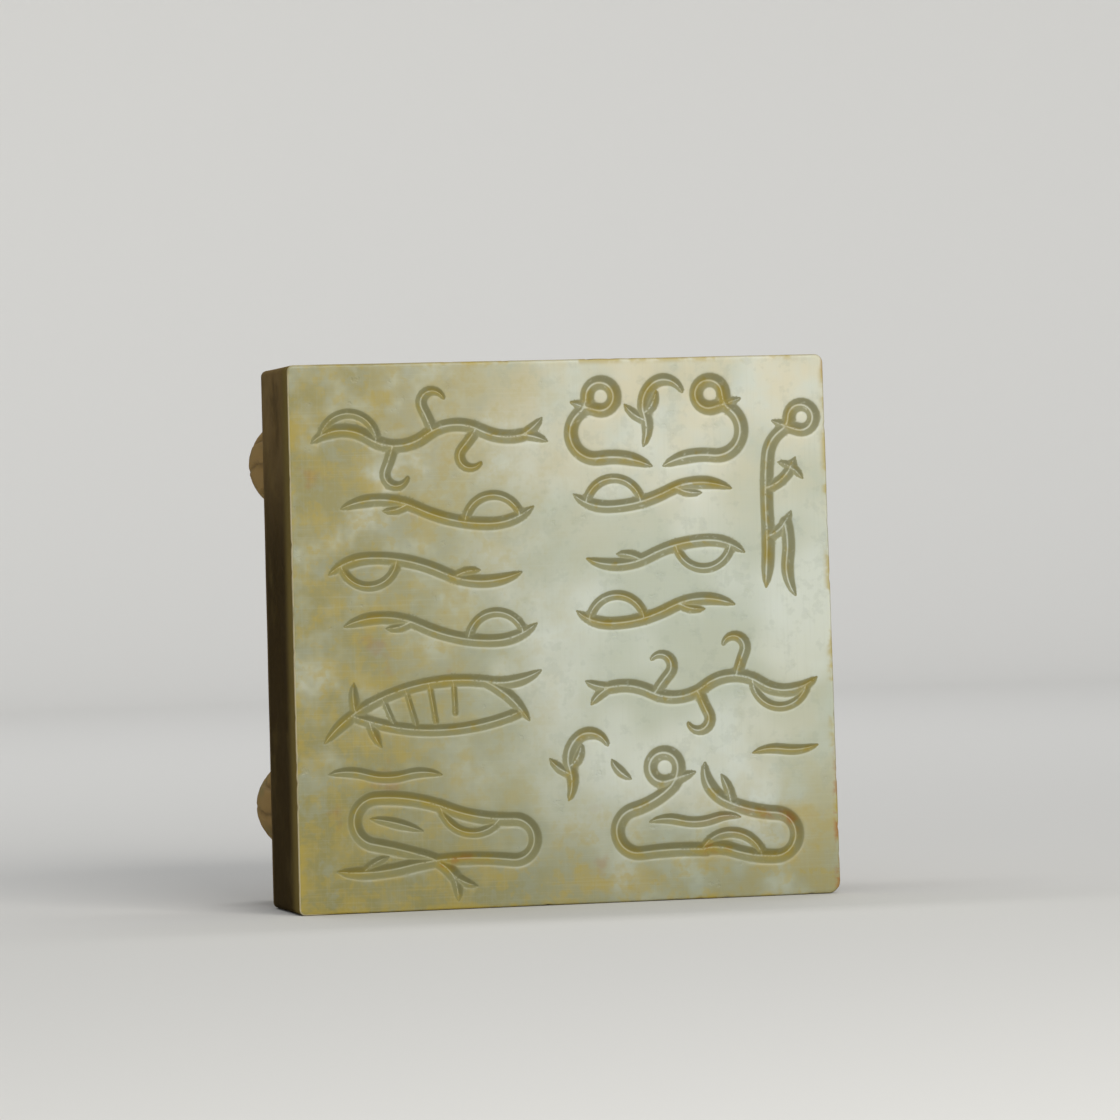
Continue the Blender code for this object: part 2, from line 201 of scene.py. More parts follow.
def ring_head(side, length=9.4):
    """The arcs of a bird's head at a neck's end: a ring, and a beak that crosses the neck."""
    return [(length, side * 285), (3.6, side * 4)]


def moved(strokes, du, dv):
    return [s._replace(start=(s.start[0] + du, s.start[1] + dv)) for s in strokes]


def mirrored(strokes):
    return [s._replace(start=(-s.start[0], s.start[1]), heading=180 - s.heading,
                       arcs=[(length, -turn) for length, turn in s.arcs]) for s in strokes]


def turned(strokes):
    return [s._replace(start=(-s.start[0], -s.start[1]), heading=s.heading + 180) for s in strokes]


(right, up), _ = after((0.0, 0.0), 0, 10.0, 90)
print(f"an arc 10 steps long that turns 90 degrees ends {right:.2f} to the right and {up:.2f} up")

# %% [markdown]
# ## The engraving
# The face of such a seal is cut with rows of worm-like and bird-like strokes. Here they are ornament
# alone and spell nothing: vines, ripples, a fish, an eel, a reed and bird necks, in two columns.
# Each motif is drawn about its own middle and then placed on the face.

# %% Motifs
def placed(motifs):
    """The strokes of motifs, each given with its place on the face."""
    return [s for motif, u, v in motifs for s in moved(motif, u, v)]


def bird_necks():
    half = [stroke((0.8, -6.0), 28, [(7.0, -36), (8.6, 150), (2.4, -52)] + ring_head(1, 9.0), 1.05)]
    return half + mirrored(half)


def vine():
    stem = stroke((-14.8, -1.6), 42, [(8, -76), (8, 70), (7.6, -64), (5.5, 40)], 1.0, "pointed blunt")
    hooks = [branch(stem, distance, side * 90 - 10, [(3.2, side * 10), (5.0, side * -190)])
             for distance, side in ((11.4, -1), (17.0, 1), (23.0, -1))]
    return [stem, leaf(stem, 1.6, 9.2, rise=84)] + fork(stem) + hooks


def fish():
    back = stroke((-14.6, -3.6), 50, [(8, -24), (17, -38)], 0.9, "pointed blunt")
    belly = stroke(along(back, 5.0)[0], -22, [(22.0, 42)], 0.85, "blunt blunt")
    tail = [branch(back, 24.6, 6, [(6.2, 36)], 0.95), branch(back, 23.4, -18, [(7.6, -34)], 0.95)]
    ribs = [branch(back, distance, -90, [(length, 0)], 0.45, "blunt blunt")
            for distance, length in ((9.5, 3.6), (12.7, 4.8), (15.9, 5.0), (19.1, 4.2))]
    fins = [branch(back, 5.6, 70, [(3.8, -20)], 0.8), branch(belly, 2.4, -60, [(3.6, 20)], 0.8)]
    return [back, belly] + tail + ribs + fins


def eel():
    body = stroke((-13.4, -5.0), -8, [(9, 20), (9, -14), (5.0, -6), (8.6, 188), (9, -22), (9.4, 24),
                                      (8.6, 166), (7.2, -6), (4.2, -36)], 1.0, "pointed blunt")
    return [body, leaf(body, 33.5, 41.5, rise=66), branch(body, 3.4, 46, [(3.8, -30)], 0.8)] + fork(body)


def ripples(stretch):
    def ripple():
        line = stroke((-11.2 * stretch, 1.0), -40,
                      [(5.0 * stretch, 40), (8.2 * stretch, 26), (8.6 * stretch, -50)], 0.95)
        return [line, leaf(line, 2.0, 9.4), branch(line, 14.4 * stretch, -50, [(3.4, 34)], 0.8)]
    return moved(ripple(), 0, 7.6) + moved(turned(ripple()), 0, 1.6) + moved(ripple(), 0, -7.4)


def reed():
    trunk = stroke((-1.8, -12.0), 82, [(9, 10), (8, -8), (4.0, -52), (2.0, 56)] + ring_head(-1, 8.2))
    twig = branch(trunk, 12.8, -74, [(4.0, 42)], ends="blunt blunt")
    leg = branch(trunk, 6.6, -78, [(3.2, 50), (1.4, 6)])
    foot = stroke(along(leg, 3.0)[0], -76, [(4.6, -24), (5.0, 40)], 0.95, "blunt pointed")
    return [trunk, twig, leg, foot] + arrow(twig)


def bud():
    stalk = stroke((-1.6, -4.6), 62, [(4.2, 46), (4.4, -70), (4.6, -110)], 0.95)
    return [stalk, branch(stalk, 3.4, 62, [(3.6, -34)], 0.8), branch(stalk, 4.4, -74, [(3.4, 60)], 0.8)]


def nest():
    left = stroke((-0.2, -4.6), 176, [(8.5, 10), (8.6, -172), (5.5, 26), (3.2, 50)] + ring_head(1),
                  1.05, "blunt pointed")
    right = stroke((-0.6, -4.6), 14, [(4, -34), (6, 20), (8.6, 176), (7.0, -22), (6.0, -70)],
                   1.05, "blunt pointed")
    barb = branch(right, stroke_length(right) - 6.8, -62, [(4.0, 30)], 0.8)
    return [left, right, leaf(right, 0.0, 8.2, rise=66, width=0.8), barb]


def drop(heading, length, bend, width=0.8):
    """One short cut with two points."""
    return [stroke((0, 0), heading, [(length, bend)], width)]


def wave(heading, swing, lengths):
    arcs = [(length, swing if number % 2 else -swing) for number, length in enumerate(lengths)]
    return [stroke((0, 0), heading, arcs, 0.8)]


def fine_strokes():
    """Lighter cuts that fill the plain places inside and beside the motifs."""
    return placed([
        (bud(), 12.6, 28.2), (wave(14, 32, (5.0, 5.2, 4.6)), -31.4, -17.2),
        (drop(-8, 7.0, -14), -26.2, -23.0), (wave(18, 34, (4.2, 4.6, 3.4)), 10.4, -24.8),
        (wave(20, 30, (4.2, 4.6)), 24.4, -16.4), (drop(-64, 3.6, 36), 5.6, -16.6)])


def inscription():
    """The main strokes, in drawing steps from the middle of the face."""
    left_column = [(vine(), -17.6, 26.6), (mirrored(ripples(1.2)), -17.2, 7.6),
                   (fish(), -17.2, -9.6), (eel(), -17.2, -24.6)]
    right_column = [(bird_necks(), 12.8, 27.0), (ripples(1.0), 12.8, 9.0), (reed(), 28.6, 17.0),
                    (turned(vine()), 18.4, -8.5), (bud(), 1.4, -17.0), (nest(), 18.0, -24.0)]
    return placed(left_column + right_column)


strokes = inscription() + fine_strokes()
print(len(strokes), "strokes")

# %% [markdown]
# ## One helper for nodes
# Geometry and shader trees are both built from nodes. This helper adds one node, sets its options,
# and fills its inputs with a plain value or a link from another node's output.

# %% Node helper
def add_node(tree, kind, inputs=None, **settings):
    node = tree.nodes.new(kind)
    for name, value in settings.items():
        setattr(node, name, value)
    for key, value in (inputs or {}).items():
        if isinstance(value, bpy.types.NodeSocket):
            tree.links.new(value, node.inputs[key])
        else:
            node.inputs[key].default_value = value
    return node


def new_tree(name, inputs):
    """A geometry tree with these named inputs and a material, each a socket type and a default value."""
    tree = bpy.data.node_groups.new(name, "GeometryNodeTree")
    tree.interface.new_socket("Geometry", in_out="INPUT", socket_type="NodeSocketGeometry")
    tree.interface.new_socket("Geometry", in_out="OUTPUT", socket_type="NodeSocketGeometry")
    for label, (kind, value) in {**inputs, "Material": ("NodeSocketMaterial", None)}.items():
        socket = tree.interface.new_socket(label, in_out="INPUT", socket_type=kind)
        if value is not None:
            socket.default_value = value
    return tree, tree.nodes.new("NodeGroupInput"), tree.nodes.new("NodeGroupOutput")


def end_tree(tree, start, end, geometry):
    """Make the geometry real, give it the material and send it to the output."""
    real = add_node(tree, "GeometryNodeRealizeInstances", {"Geometry": geometry})
    painted = add_node(tree, "GeometryNodeSetMaterial", {
        "Geometry": real.outputs["Geometry"], "Material": start.outputs["Material"]})
    tree.links.new(painted.outputs["Geometry"], end.inputs["Geometry"])
    return tree


def plain_mesh(obj):
    """What the object's modifiers make of it, as a plain mesh; the modifiers are removed."""
    bpy.context.view_layer.update()
    mesh = bpy.data.meshes.new_from_object(obj.evaluated_get(bpy.context.evaluated_depsgraph_get()))
    obj.modifiers.clear()
    return mesh


def run_tree(obj, tree, values):
    """The result of the tree on the object, with these inputs and the jade."""
    modifier = obj.modifiers.new(tree.name, "NODES")
    modifier.node_group = tree
    values = {**values, "Material": jade}
    for item in tree.interface.items_tree:
        if item.in_out == "INPUT" and item.name in values:
            modifier[item.identifier] = values[item.name]
    return plain_mesh(obj)


jade = bpy.data.materials.new("nephrite jade, carved and hand-polished")
jade.use_nodes = True
print("node helpers ready")

# %% Object helpers
def new_object(name, data):
    obj = bpy.data.objects.new(name, data)
    bpy.context.scene.collection.objects.link(obj)
    return obj


def object_from(body, name):
    """The bmesh as the mesh of a new object."""
    mesh = bpy.data.meshes.new(name)
    body.to_mesh(mesh)
    body.free()
    return new_object(name, mesh)


def route_curves(name, routes):
    """One curve object with a spline for each route, which is a list of places with radii."""
    curve = bpy.data.curves.new(name, "CURVE")
    curve.dimensions = "3D"
    for route in routes:
        spline = curve.splines.new("POLY")
        spline.points.add(len(route) - 1)
        for point, (*place, radius) in zip(spline.points, route):
            point.co = (*place, 1.0)
            point.radius = radius
    return new_object(name, curve)


def points_of(mesh):
    """The places of a mesh's points, one row each."""
    places = np.empty(len(mesh.vertices) * 3, dtype=np.float32)
    mesh.vertices.foreach_get("co", places)
    return places.reshape(-1, 3).astype(np.float64)


print("object helpers ready")

# %% [markdown]
# ## Sweeping the grooves
# A groove could be cut out with a Boolean, but its lips would be razor sharp and the stone beside
# them would be cut into slivers. Instead a Geometry Nodes tree sweeps rows of points along every
# stroke, closer together at the lips and the bottom, where the section bends. The strips lie flat on
# the face, with rings of points round their ends. They only say where the surface needs points; the
# depth comes in the next step.

# %% Geometry Nodes: rows of points along every stroke
ROW_SPACING = 0.45 * MM         # from one row to the next along a stroke
ROWS = (0.0, 0.13, 0.3, 0.52, 0.72, 0.88, 1.02, 1.18, 1.4)  # across a groove, in half widths
END_RINGS = (0.5, 1.0, 1.6, 2.6)  # of points round each end of a stroke, in half widths
RING_POINTS = 14
WOBBLE = 0.05                   # of a groove's width, since a hand guided the wheel
WOBBLE_PACE = 0.35              # of its ups and downs, in each step

step_u = (FACE_WIDTH - 2 * FACE_MARGIN) / DRAWN_WIDTH
step_v = (FACE_HEIGHT - 2 * FACE_MARGIN) / DRAWN_HEIGHT


def stroke_route(number, host):
    """The stroke's places on the face, each with the groove's half width there."""
    route, distance, last = [], 0.0, host.start
    for u, v in stroke_points(host):
        distance = min(distance + math.dist(last, (u, v)), stroke_length(host))
        wobble = 1 + WOBBLE * noise.noise(Vector((distance * WOBBLE_PACE, number * 7.3, 0.5)))
        half_width = groove_share(host, distance) * wobble * GROOVE_WIDTH / 2
        route.append((u * step_u, v * step_v, 0.0, half_width))
        last = (u, v)
    return route


def section_route():
    """The rows across a groove, as a straight line of points one half width to each side."""
    return [(across, 0.0, 0.0, 1.0) for across in [-row for row in reversed(ROWS[1:])] + list(ROWS)]


def strip_tree():
    tree, start, end = new_tree("groove strips", {
        "Row Spacing": ("NodeSocketFloat", ROW_SPACING), "Section": ("NodeSocketObject", None)})
    evened = add_node(tree, "GeometryNodeResampleCurve", {
        "Curve": start.outputs["Geometry"], "Length": start.outputs["Row Spacing"]}, mode="LENGTH")
    radius = add_node(tree, "GeometryNodeInputRadius")
    section = add_node(tree, "GeometryNodeObjectInfo", {"Object": start.outputs["Section"]})
    swept = add_node(tree, "GeometryNodeCurveToMesh", {
        "Curve": evened.outputs["Curve"], "Profile Curve": section.outputs["Geometry"],
        "Scale": radius.outputs["Radius"]})
    joined = add_node(tree, "GeometryNodeJoinGeometry", {"Geometry": swept.outputs["Mesh"]})
    ends = add_node(tree, "GeometryNodeCurveEndpointSelection", {"Start Size": 1, "End Size": 1})
    for row in END_RINGS:
        ring = add_node(tree, "GeometryNodeMeshCircle", {"Vertices": RING_POINTS, "Radius": row})
        rings = add_node(tree, "GeometryNodeInstanceOnPoints", {
            "Points": evened.outputs["Curve"], "Selection": ends.outputs["Selection"],
            "Instance": ring.outputs["Mesh"], "Scale": radius.outputs["Radius"]})
        tree.links.new(rings.outputs["Instances"], joined.inputs["Geometry"])
    return end_tree(tree, start, end, joined.outputs["Geometry"])


curves = route_curves("strokes", [stroke_route(number, host) for number, host in enumerate(strokes)])
section = route_curves("groove section", [section_route()])
strip_points = points_of(run_tree(curves, strip_tree(), {"Section": section}))[:, :2]
print("groove strips:", len(strip_points), "points")

# %% [markdown]
# ## The depth of the grooves
# The wheel left a V with a narrow flat bottom. That bottom faces the reader and shows as a thin
# bright line between two darker walls. The material also paints that line paler, as a painted
# highlight, and the walls darker, partly as painted shade. The lip is a little rounded by wear and
# polish. Where strokes meet, the deeper one wins, as it does in stone.

# %% Groove depth
FLAT_BOTTOM = 0.06              # half the flat bottom's width, as a share of the half width
SOFTENING = 0.10                # how rounded the lip and the bottom's corners are
LIP_WIDTH = 0.13                # of the lip's painted highlight, as a share of the half width
FAR = 9.0                       # in half widths, for a place with no stroke near
LIP_BEGINS = 0.75               # half widths from the middle, where a lip's painted highlight begins
LIP_RISE = 0.2                  # half widths from there to where it is full


def eased(value):
    """Zero below zero and the value above it, with a rounded bend between."""
    return SOFTENING * np.logaddexp(0, value / SOFTENING)


def groove_section(across):
    """Depth as a share of the full depth, at a distance from the middle in half widths."""
    climb = (1 - across) / (1 - FLAT_BOTTOM)
    return eased(climb) - eased(climb - 1)


def reach_of(places, spline):
    """Distance to a stroke in its half widths, and the half width there."""
    points = np.array([point.co[:2] for point in spline.points])
    halves = np.array([point.radius for point in spline.points])
    across = np.full(len(places), FAR)
    half = np.full(len(places), halves.max())
    for start, end, first, last in zip(points, points[1:], halves, halves[1:]):
        run = end - start
        share = np.clip((places - start) @ run / (run @ run), 0, 1)
        width = first + (last - first) * share
        away = np.linalg.norm(places - start - share[:, None] * run, axis=1) / width
        closer = away < across
        across = np.where(closer, away, across)
        half = np.where(closer, width, half)
    return across, half


def carve(places):
    """Depth, nearness to a lip, and distance to the nearest stroke, for places on the face."""
    depth, lip, nearest = np.zeros(len(places)), np.zeros(len(places)), np.full(len(places), FAR)
    for spline in curves.data.splines:
        points = np.array([point.co[:2] for point in spline.points])
        corner, opposite = points.min(0) - GROOVE_WIDTH, points.max(0) + GROOVE_WIDTH
        near = np.flatnonzero(np.all((places > corner) & (places < opposite), axis=1))
        across, half = reach_of(places[near], spline)
        size = half / (GROOVE_WIDTH / 2)
        depth[near] = np.maximum(depth[near], GROOVE_DEPTH * size * groove_section(across))
        lip[near] = np.maximum(lip[near], size * np.exp(-((across - 1) / LIP_WIDTH) ** 2))
        nearest[near] = np.minimum(nearest[near], across)
    return depth, lip * np.clip((nearest - LIP_BEGINS) / LIP_RISE, 0, 1), nearest


# %% [markdown]
# ## The block's outline
# The block is a rounded rectangle, slightly wider below, since it was squared by eye. The same
# outline is repeated from front to back, and drawn in a little where the edges are rounded. Years
# of handling left the edges a little wavy, and the face's lower right corner is worn rounder.

# %% Block outline
OUTLINE_SPACING = 0.62 * MM
CORNER_STEPS = 7
CORNERS = (  # the side in X and Z, the angle where its arc starts, and its radius
    (1, -1, -90, 1.6 * MM), (1, 1, 0, 1.1 * MM),
    (-1, 1, 90, SIDE_EDGE_RADIUS), (-1, -1, 180, SIDE_EDGE_RADIUS))
LEAST_RADIUS = 0.2 * MM         # of a corner that is drawn in
WAVINESS = 0.07 * MM            # of the edges and sides
WAVE_PACE = 0.11                # how fast those waves change, in each millimetre
NICK_DEPTH = 0.5 * MM           # of the small nicks along the face's edge
NICK_PACE = 0.8                 # the same for the nicks
NICK_RARITY = 0.34              # the noise that a nick has to pass: more leaves fewer
NICK_REACH = 1.2 * MM           # how far they run back from the face
FACE_EDGE_LOOPS, SIDE_LOOPS, BACK_EDGE_LOOPS = 5, 17, 7  # the outline's repeats from front to back


def outline(inset):
    """Points round the block, this far inside its sides, and their outward normals."""
    arcs = []
    for side_x, side_z, start, radius in CORNERS:
        here = max(radius - inset, LEAST_RADIUS)
        half_box = np.array((FACE_WIDTH, FACE_HEIGHT)) / 2
        middle = np.array((side_x, side_z)) * (half_box - inset - here)
        turn = np.radians(start + np.linspace(0, 90, CORNER_STEPS))
        normal = np.stack((np.cos(turn), np.sin(turn)), axis=1)
        arcs.append((middle + here * normal, normal))
    side_steps = round(FACE_WIDTH / OUTLINE_SPACING)
    places, normals = [], []
    for (points, normal), (following, _) in zip(arcs, arcs[1:] + arcs[:1]):
        places.extend(points)
        normals.extend(normal)
        for step in range(1, side_steps):
            places.append(points[-1] + (following[0] - points[-1]) * step / side_steps)
            normals.append(normal[-1])
    places = np.array(places)
    places[:, 0] -= np.sign(places[:, 0]) * WIDTH_TAPER / 4 * places[:, 1] / (FACE_HEIGHT / 2)
    return places, np.array(normals)


def wear(x, z, depth_in):
    """How far handling took the stone's side back at this place, in metres."""
    spot = Vector((x, depth_in, z)) / MM
    waves = WAVINESS * (0.5 + 0.5 * noise.noise(spot * WAVE_PACE))
    nick = max(0.0, noise.noise(spot * NICK_PACE) - NICK_RARITY) * max(0.0, 1 - depth_in / NICK_REACH)
    return waves + NICK_DEPTH * nick


def edge_stations():
    """Depths behind the face where the outline is repeated, with its inset at each."""
    def rounding(radius, loops):
        """How far in from the front or back, and from the side, at each loop of a rounded edge."""
        return [(radius * (1 - math.sin(angle)), radius * (1 - math.cos(angle)))
                for angle in np.radians(np.linspace(0, 90, loops))]

    face = rounding(FACE_EDGE_RADIUS, FACE_EDGE_LOOPS)[::-1]
    sides = np.linspace(FACE_EDGE_RADIUS, BLOCK_DEPTH - BACK_EDGE_RADIUS, SIDE_LOOPS)[1:-1]
    back = rounding(BACK_EDGE_RADIUS, BACK_EDGE_LOOPS)
    return face + [(side, 0.0) for side in sides] + [(BLOCK_DEPTH - short, inset) for short, inset in back]


def block_loop(depth_in, inset):
    places, normals = outline(inset)
    loop = []
    for (x, z), (out_x, out_z) in zip(places, normals):
        worn = wear(x, z, depth_in)
        loop.append(Vector((x - worn * out_x, FRONT + depth_in, MIDDLE + z - worn * out_z)))
    return loop


loops = [block_loop(depth_in, inset) for depth_in, inset in edge_stations()]
print(len(loops), "loops of", len(loops[0]), "points")

# %% [markdown]
# ## The engraved face
# The strip points, a coarse grid of plain points and the outline are joined by a Delaunay
# triangulation, which makes the most even triangles from scattered points. Then each point is pushed
# in by the groove's depth there.

# %% Engraved face
PLAIN_SPACING = 1.5 * MM        # of points on the plain stone
ROW_RATIO = 0.87                # of the gap between rows to that, so the triangles come out even
PLAIN_BORDER = 1.1 * MM         # from the sides to the first plain point
CLEARANCE = 0.3                 # from a groove's last row to it, in half widths
CLOSEST = 0.07 * MM             # of two points on the face
RIM = 0.25 * MM                 # of the inner ring that keeps the rim flat


def flat_patch(rim, inner):
    """A Delaunay triangulation inside a closed rim: places, triangles, and which places are inner."""
    ring_edges = [(number, (number + 1) % len(rim)) for number in range(len(rim))]
    corners = [Vector(place) for place in np.concatenate((rim, inner))]
    places, _, triangles, origins, _, _ = geometry.delaunay_2d_cdt(corners, ring_edges, [], 1, 1e-7)
    is_inner = np.array([bool(numbers) and min(numbers) >= len(rim) for numbers in origins])
    return np.array(places), triangles, is_inner


def rim_places(loop):
    return np.array([(place.x, place.z - MIDDLE) for place in loop])


def thinned(places):
    """The places without those that share a small cell with an earlier one."""
    cells = np.round(places / CLOSEST).astype(np.int64)
    _, first = np.unique(cells, axis=0, return_index=True)
    return places[np.sort(first)]


def plain_grid(border):
    """A staggered grid of points that stays this far inside the block's sides."""
    across = np.arange(border - FACE_WIDTH / 2, FACE_WIDTH / 2 - border, PLAIN_SPACING)
    rows = np.arange(border - FACE_HEIGHT / 2, FACE_HEIGHT / 2 - border, PLAIN_SPACING * ROW_RATIO)
    grid = [(u + PLAIN_SPACING / 2 * (number % 2), v) for number, v in enumerate(rows) for u in across]
    return np.array([spot for spot in grid if abs(spot[0]) < FACE_WIDTH / 2 - border])


def plain_points():
    """The grid on the stone between the strokes, and a ring just inside the rim."""
    grid = plain_grid(PLAIN_BORDER)
    ring, _ = outline(FACE_EDGE_RADIUS + RIM)
    _, _, nearest = carve(grid)
    return np.concatenate((grid[nearest > ROWS[-1] + CLEARANCE], ring[::2]))


inner_points = thinned(np.concatenate((strip_points, plain_points())))
flat_places, flat_faces, is_inner = flat_patch(rim_places(loops[0]), inner_points)
face_depth = carve(flat_places)[0] * is_inner
print("engraved face:", len(flat_places), "points,", len(flat_faces), "triangles, deepest",
      round(float(face_depth.max()) / MM, 2), "mm")

# %% [markdown]
# ## The plain block
# The outline's loops are bridged into the block's sides and closed behind with a flat patch of small
# triangles, so that the smooth shading where the knob stands stays close to its foot. The front gets
# a plain cap for now, because the knob is joined on first and the engraved face is put in its place
# afterwards.

# %% Plain block
MERGING = 0.001 * MM            # of points that are meant to be one


def bridge(body, first, second):
    """Faces between two loops of the same number of vertices."""
    count = len(first)
    for number in range(count):
        following = (number + 1) % count
        body.faces.new((first[number], first[following], second[following], second[number]))


def plain_block():
    body = bmesh.new()
    rings = [[body.verts.new(place) for place in loop] for loop in loops]
    for first, second in zip(rings, rings[1:]):
        bridge(body, first, second)
    body.faces.new(reversed(rings[0]))
    places, triangles, _ = flat_patch(rim_places(loops[-1]), plain_grid(BACK_EDGE_RADIUS + RIM + MM))
    verts = [body.verts.new((u, BACK, MIDDLE + v)) for u, v in places]
    for corners in triangles:
        body.faces.new([verts[corner] for corner in corners])
    bmesh.ops.remove_doubles(body, verts=body.verts, dist=MERGING)
    bmesh.ops.recalc_face_normals(body, faces=body.faces)
    return object_from(body, "block")


block = plain_block()
print("plain block:", len(block.data.polygons), "faces")

# %% [markdown]
# ## The beast's masses
# The knob was roughed out as round masses: trunk, rump, shoulders, haunches, a broad head. Here a
# Geometry Nodes tree puts one ball on each point of a small mesh and stretches and turns it by the
# point's own values, so that a new mass is one more line. All are drawn on the beast's own grid,
# across, along towards the head, and up from the block's back.

# %% Beast grid and masses
BEAST_GRID = Vector((69.4, 68.0, 30.0))  # steps across, along and up that fill the knob's space
TRUNK = ((0, -27, 8, 7.5), (0, -20, 10.5, 11), (0, -9, 14.5, 9.2), (0, 0, 15.8, 8.2),
         (0, 9, 14.8, 9.8), (0, 16, 15.0, 11.2), (0, 23, 18.5, 9.0))
SPINE_BEADS = 7

fit_across = (FACE_WIDTH - 2 * KNOB_SIDE_INSET) / BEAST_GRID.x
fit_along = (FACE_HEIGHT - 2 * KNOB_END_INSET) / BEAST_GRID.y
fit_up = KNOB_HEIGHT / BEAST_GRID.z
beast_frame = Matrix(((fit_across, 0, 0, 0), (0, 0, fit_up, BACK), (0, fit_along, 0, MIDDLE), (0, 0, 0, 1)))


def smooth_route(keys, pieces):
    """Catmull-Rom points through the keys, which are places with radii."""
    padded = [keys[0]] + list(keys) + [keys[-1]]
    route = []
    for before, start, end, beyond in zip(padded, padded[1:], padded[2:], padded[3:]):
        for piece in range(pieces):
            t = piece / pieces
            route.append([0.5 * (2 * b + (c - a) * t + (2 * a - 5 * b + 4 * c - d) * t ** 2
                                 + (3 * b - a - 3 * c + d) * t ** 3)
                          for a, b, c, d in zip(before, start, end, beyond)])
    return route + [list(keys[-1])]


def trunk_masses():
    return [((0, -24, 8), (13, 9.0, 10), (0, 0, 0)), ((0, 19, 7), (13, 8.5, 9), (0, 0, 0))]


def spine_masses():
    """A row of beads along the back, smaller towards the tail."""
    route = smooth_route(TRUNK, 4)
    masses = []
    for bead in range(SPINE_BEADS):
        share = (bead + 0.5) / SPINE_BEADS
        _, ahead, up, radius = route[round((0.16 + 0.56 * share) * (len(route) - 1))]
        masses.append(((0, ahead, up + radius - 0.2), (1.7 + 0.7 * share, 1.9, 1.3), (0, 0, 0)))
    return masses


def head_masses():
    masses = [((0, 24.4, 20.6), (9.4, 8.2, 8.6), (0, 0, 0)), ((0, 29.0, 16.2), (6.6, 4.9, 4.8), (0, 0, 0)),
              ((0, 32.0, 19.6), (2.7, 1.9, 1.9), (0, 0, 0)), ((0, 18.6, 25.6), (3.4, 6.4, 4.3), (12, 0, 0)),
              ((0, 27.4, 11.4), (5.4, 4.6, 3.0), (0, 0, 0))]
    for side in (-1, 1):
        masses += [((side * 4.4, 27.6, 26.2), (3.5, 2.6, 1.9), (0, side * 24, side * 16)),
                   ((side * 4.6, 30.2, 23.2), (2.1, 1.8, 2.1), (0, 0, 0)),
                   ((side * 9.0, 19.8, 24.4), (2.4, 4.8, 3.2), (22, side * 30, 0)),
                   ((side * 8.4, 25.6, 16.2), (3.6, 3.8, 4.4), (0, 0, 0)),
                   ((side * 9.4, 18.2, 17.6), (3.8, 4.0, 5.0), (0, 0, 0))]
    return masses


def leg_masses():
    masses = []
    for side in (-1, 1):
        masses += [((side * 11, 20.0, 13.2), (16.5, 7.2, 9.2), (0, 0, side * 8)),
                   ((side * 22.8, 22.9, 12.7), (12.0, 8.3, 8.8), (0, 0, 0)),
                   ((side * 11, -24.0, 12.6), (17.0, 8.4, 9.8), (0, 0, side * 4)),
                   ((side * 22.8, -22.3, 13.8), (12.1, 8.3, 9.0), (0, 0, 0))]
        for toe in (-1, 0, 1):
            for middle, ahead in ((23.4, 30.6), (26.0, -7.2)):
                masses.append(((side * (middle + 3.6 * toe), ahead - abs(toe) * 0.9, 1.9), (1.9, 3.1, 2.6),
                               (0, 0, -side * toe * 10)))
    return masses


def mass_points(masses):
    """A mesh with one point for each mass, which carries its radii and its turn."""
    mesh = bpy.data.meshes.new("mass points")
    mesh.from_pydata([centre for centre, radii, turn in masses], [], [])
    for name, column in (("radii", 1), ("turn", 2)):
        values = mesh.attributes.new(name, "FLOAT_VECTOR", "POINT")
        for item, mass in zip(values.data, masses):
            item.vector = mass[column] if name == "radii" else [math.radians(angle) for angle in mass[column]]
    return new_object("mass points", mesh)


def mass_tree():
    tree, start, end = new_tree("round masses", {
        "Segments": ("NodeSocketInt", 40), "Rings": ("NodeSocketInt", 24)})
    ball = add_node(tree, "GeometryNodeMeshUVSphere",
                    {"Segments": start.outputs["Segments"], "Rings": start.outputs["Rings"], "Radius": 1.0})
    radii = add_node(tree, "GeometryNodeInputNamedAttribute", {"Name": "radii"}, data_type="FLOAT_VECTOR")
    turn = add_node(tree, "GeometryNodeInputNamedAttribute", {"Name": "turn"}, data_type="FLOAT_VECTOR")
    spin = add_node(tree, "FunctionNodeEulerToRotation", {"Euler": turn.outputs["Attribute"]})
    balls = add_node(tree, "GeometryNodeInstanceOnPoints", {
        "Points": start.outputs["Geometry"], "Instance": ball.outputs["Mesh"],
        "Rotation": spin.outputs[0], "Scale": radii.outputs["Attribute"]})
    return end_tree(tree, start, end, balls.outputs["Instances"])


masses = trunk_masses() + spine_masses() + head_masses() + leg_masses()
mass_mesh = run_tree(mass_points(masses), mass_tree(), {})
print(len(masses), "masses:", len(mass_mesh.polygons), "faces")

# %% [markdown]
# ## Trunk, limbs and tail
# These follow a path, so a second tree sweeps a circle along curves whose radius says how thick the
# limb is at each place. The tail rises over the rump and parts into two scrolls on the haunches.

# %% Geometry Nodes: limbs along curves
SCROLL_TURNS = 1.3
SCROLL_REACH = 6.4
SCROLL_PIECES = 40


def scroll_route(side, rise=0.0):
    """Half of the tail, coiled on one haunch; rise lifts the route for a line along its crest."""
    route = []
    for piece in range(SCROLL_PIECES + 1):
        share = piece / SCROLL_PIECES
        angle = 2 * math.pi * SCROLL_TURNS * share
        reach = SCROLL_REACH * (1 - 0.74 * share)
        across = 7.0 - reach * math.cos(angle)
        up = 21.8 - 0.012 * across ** 2 + rise
        route.append((side * across, -21.0 + reach * math.sin(angle), up, 2.3 * (1 - 0.3 * share)))
    return route


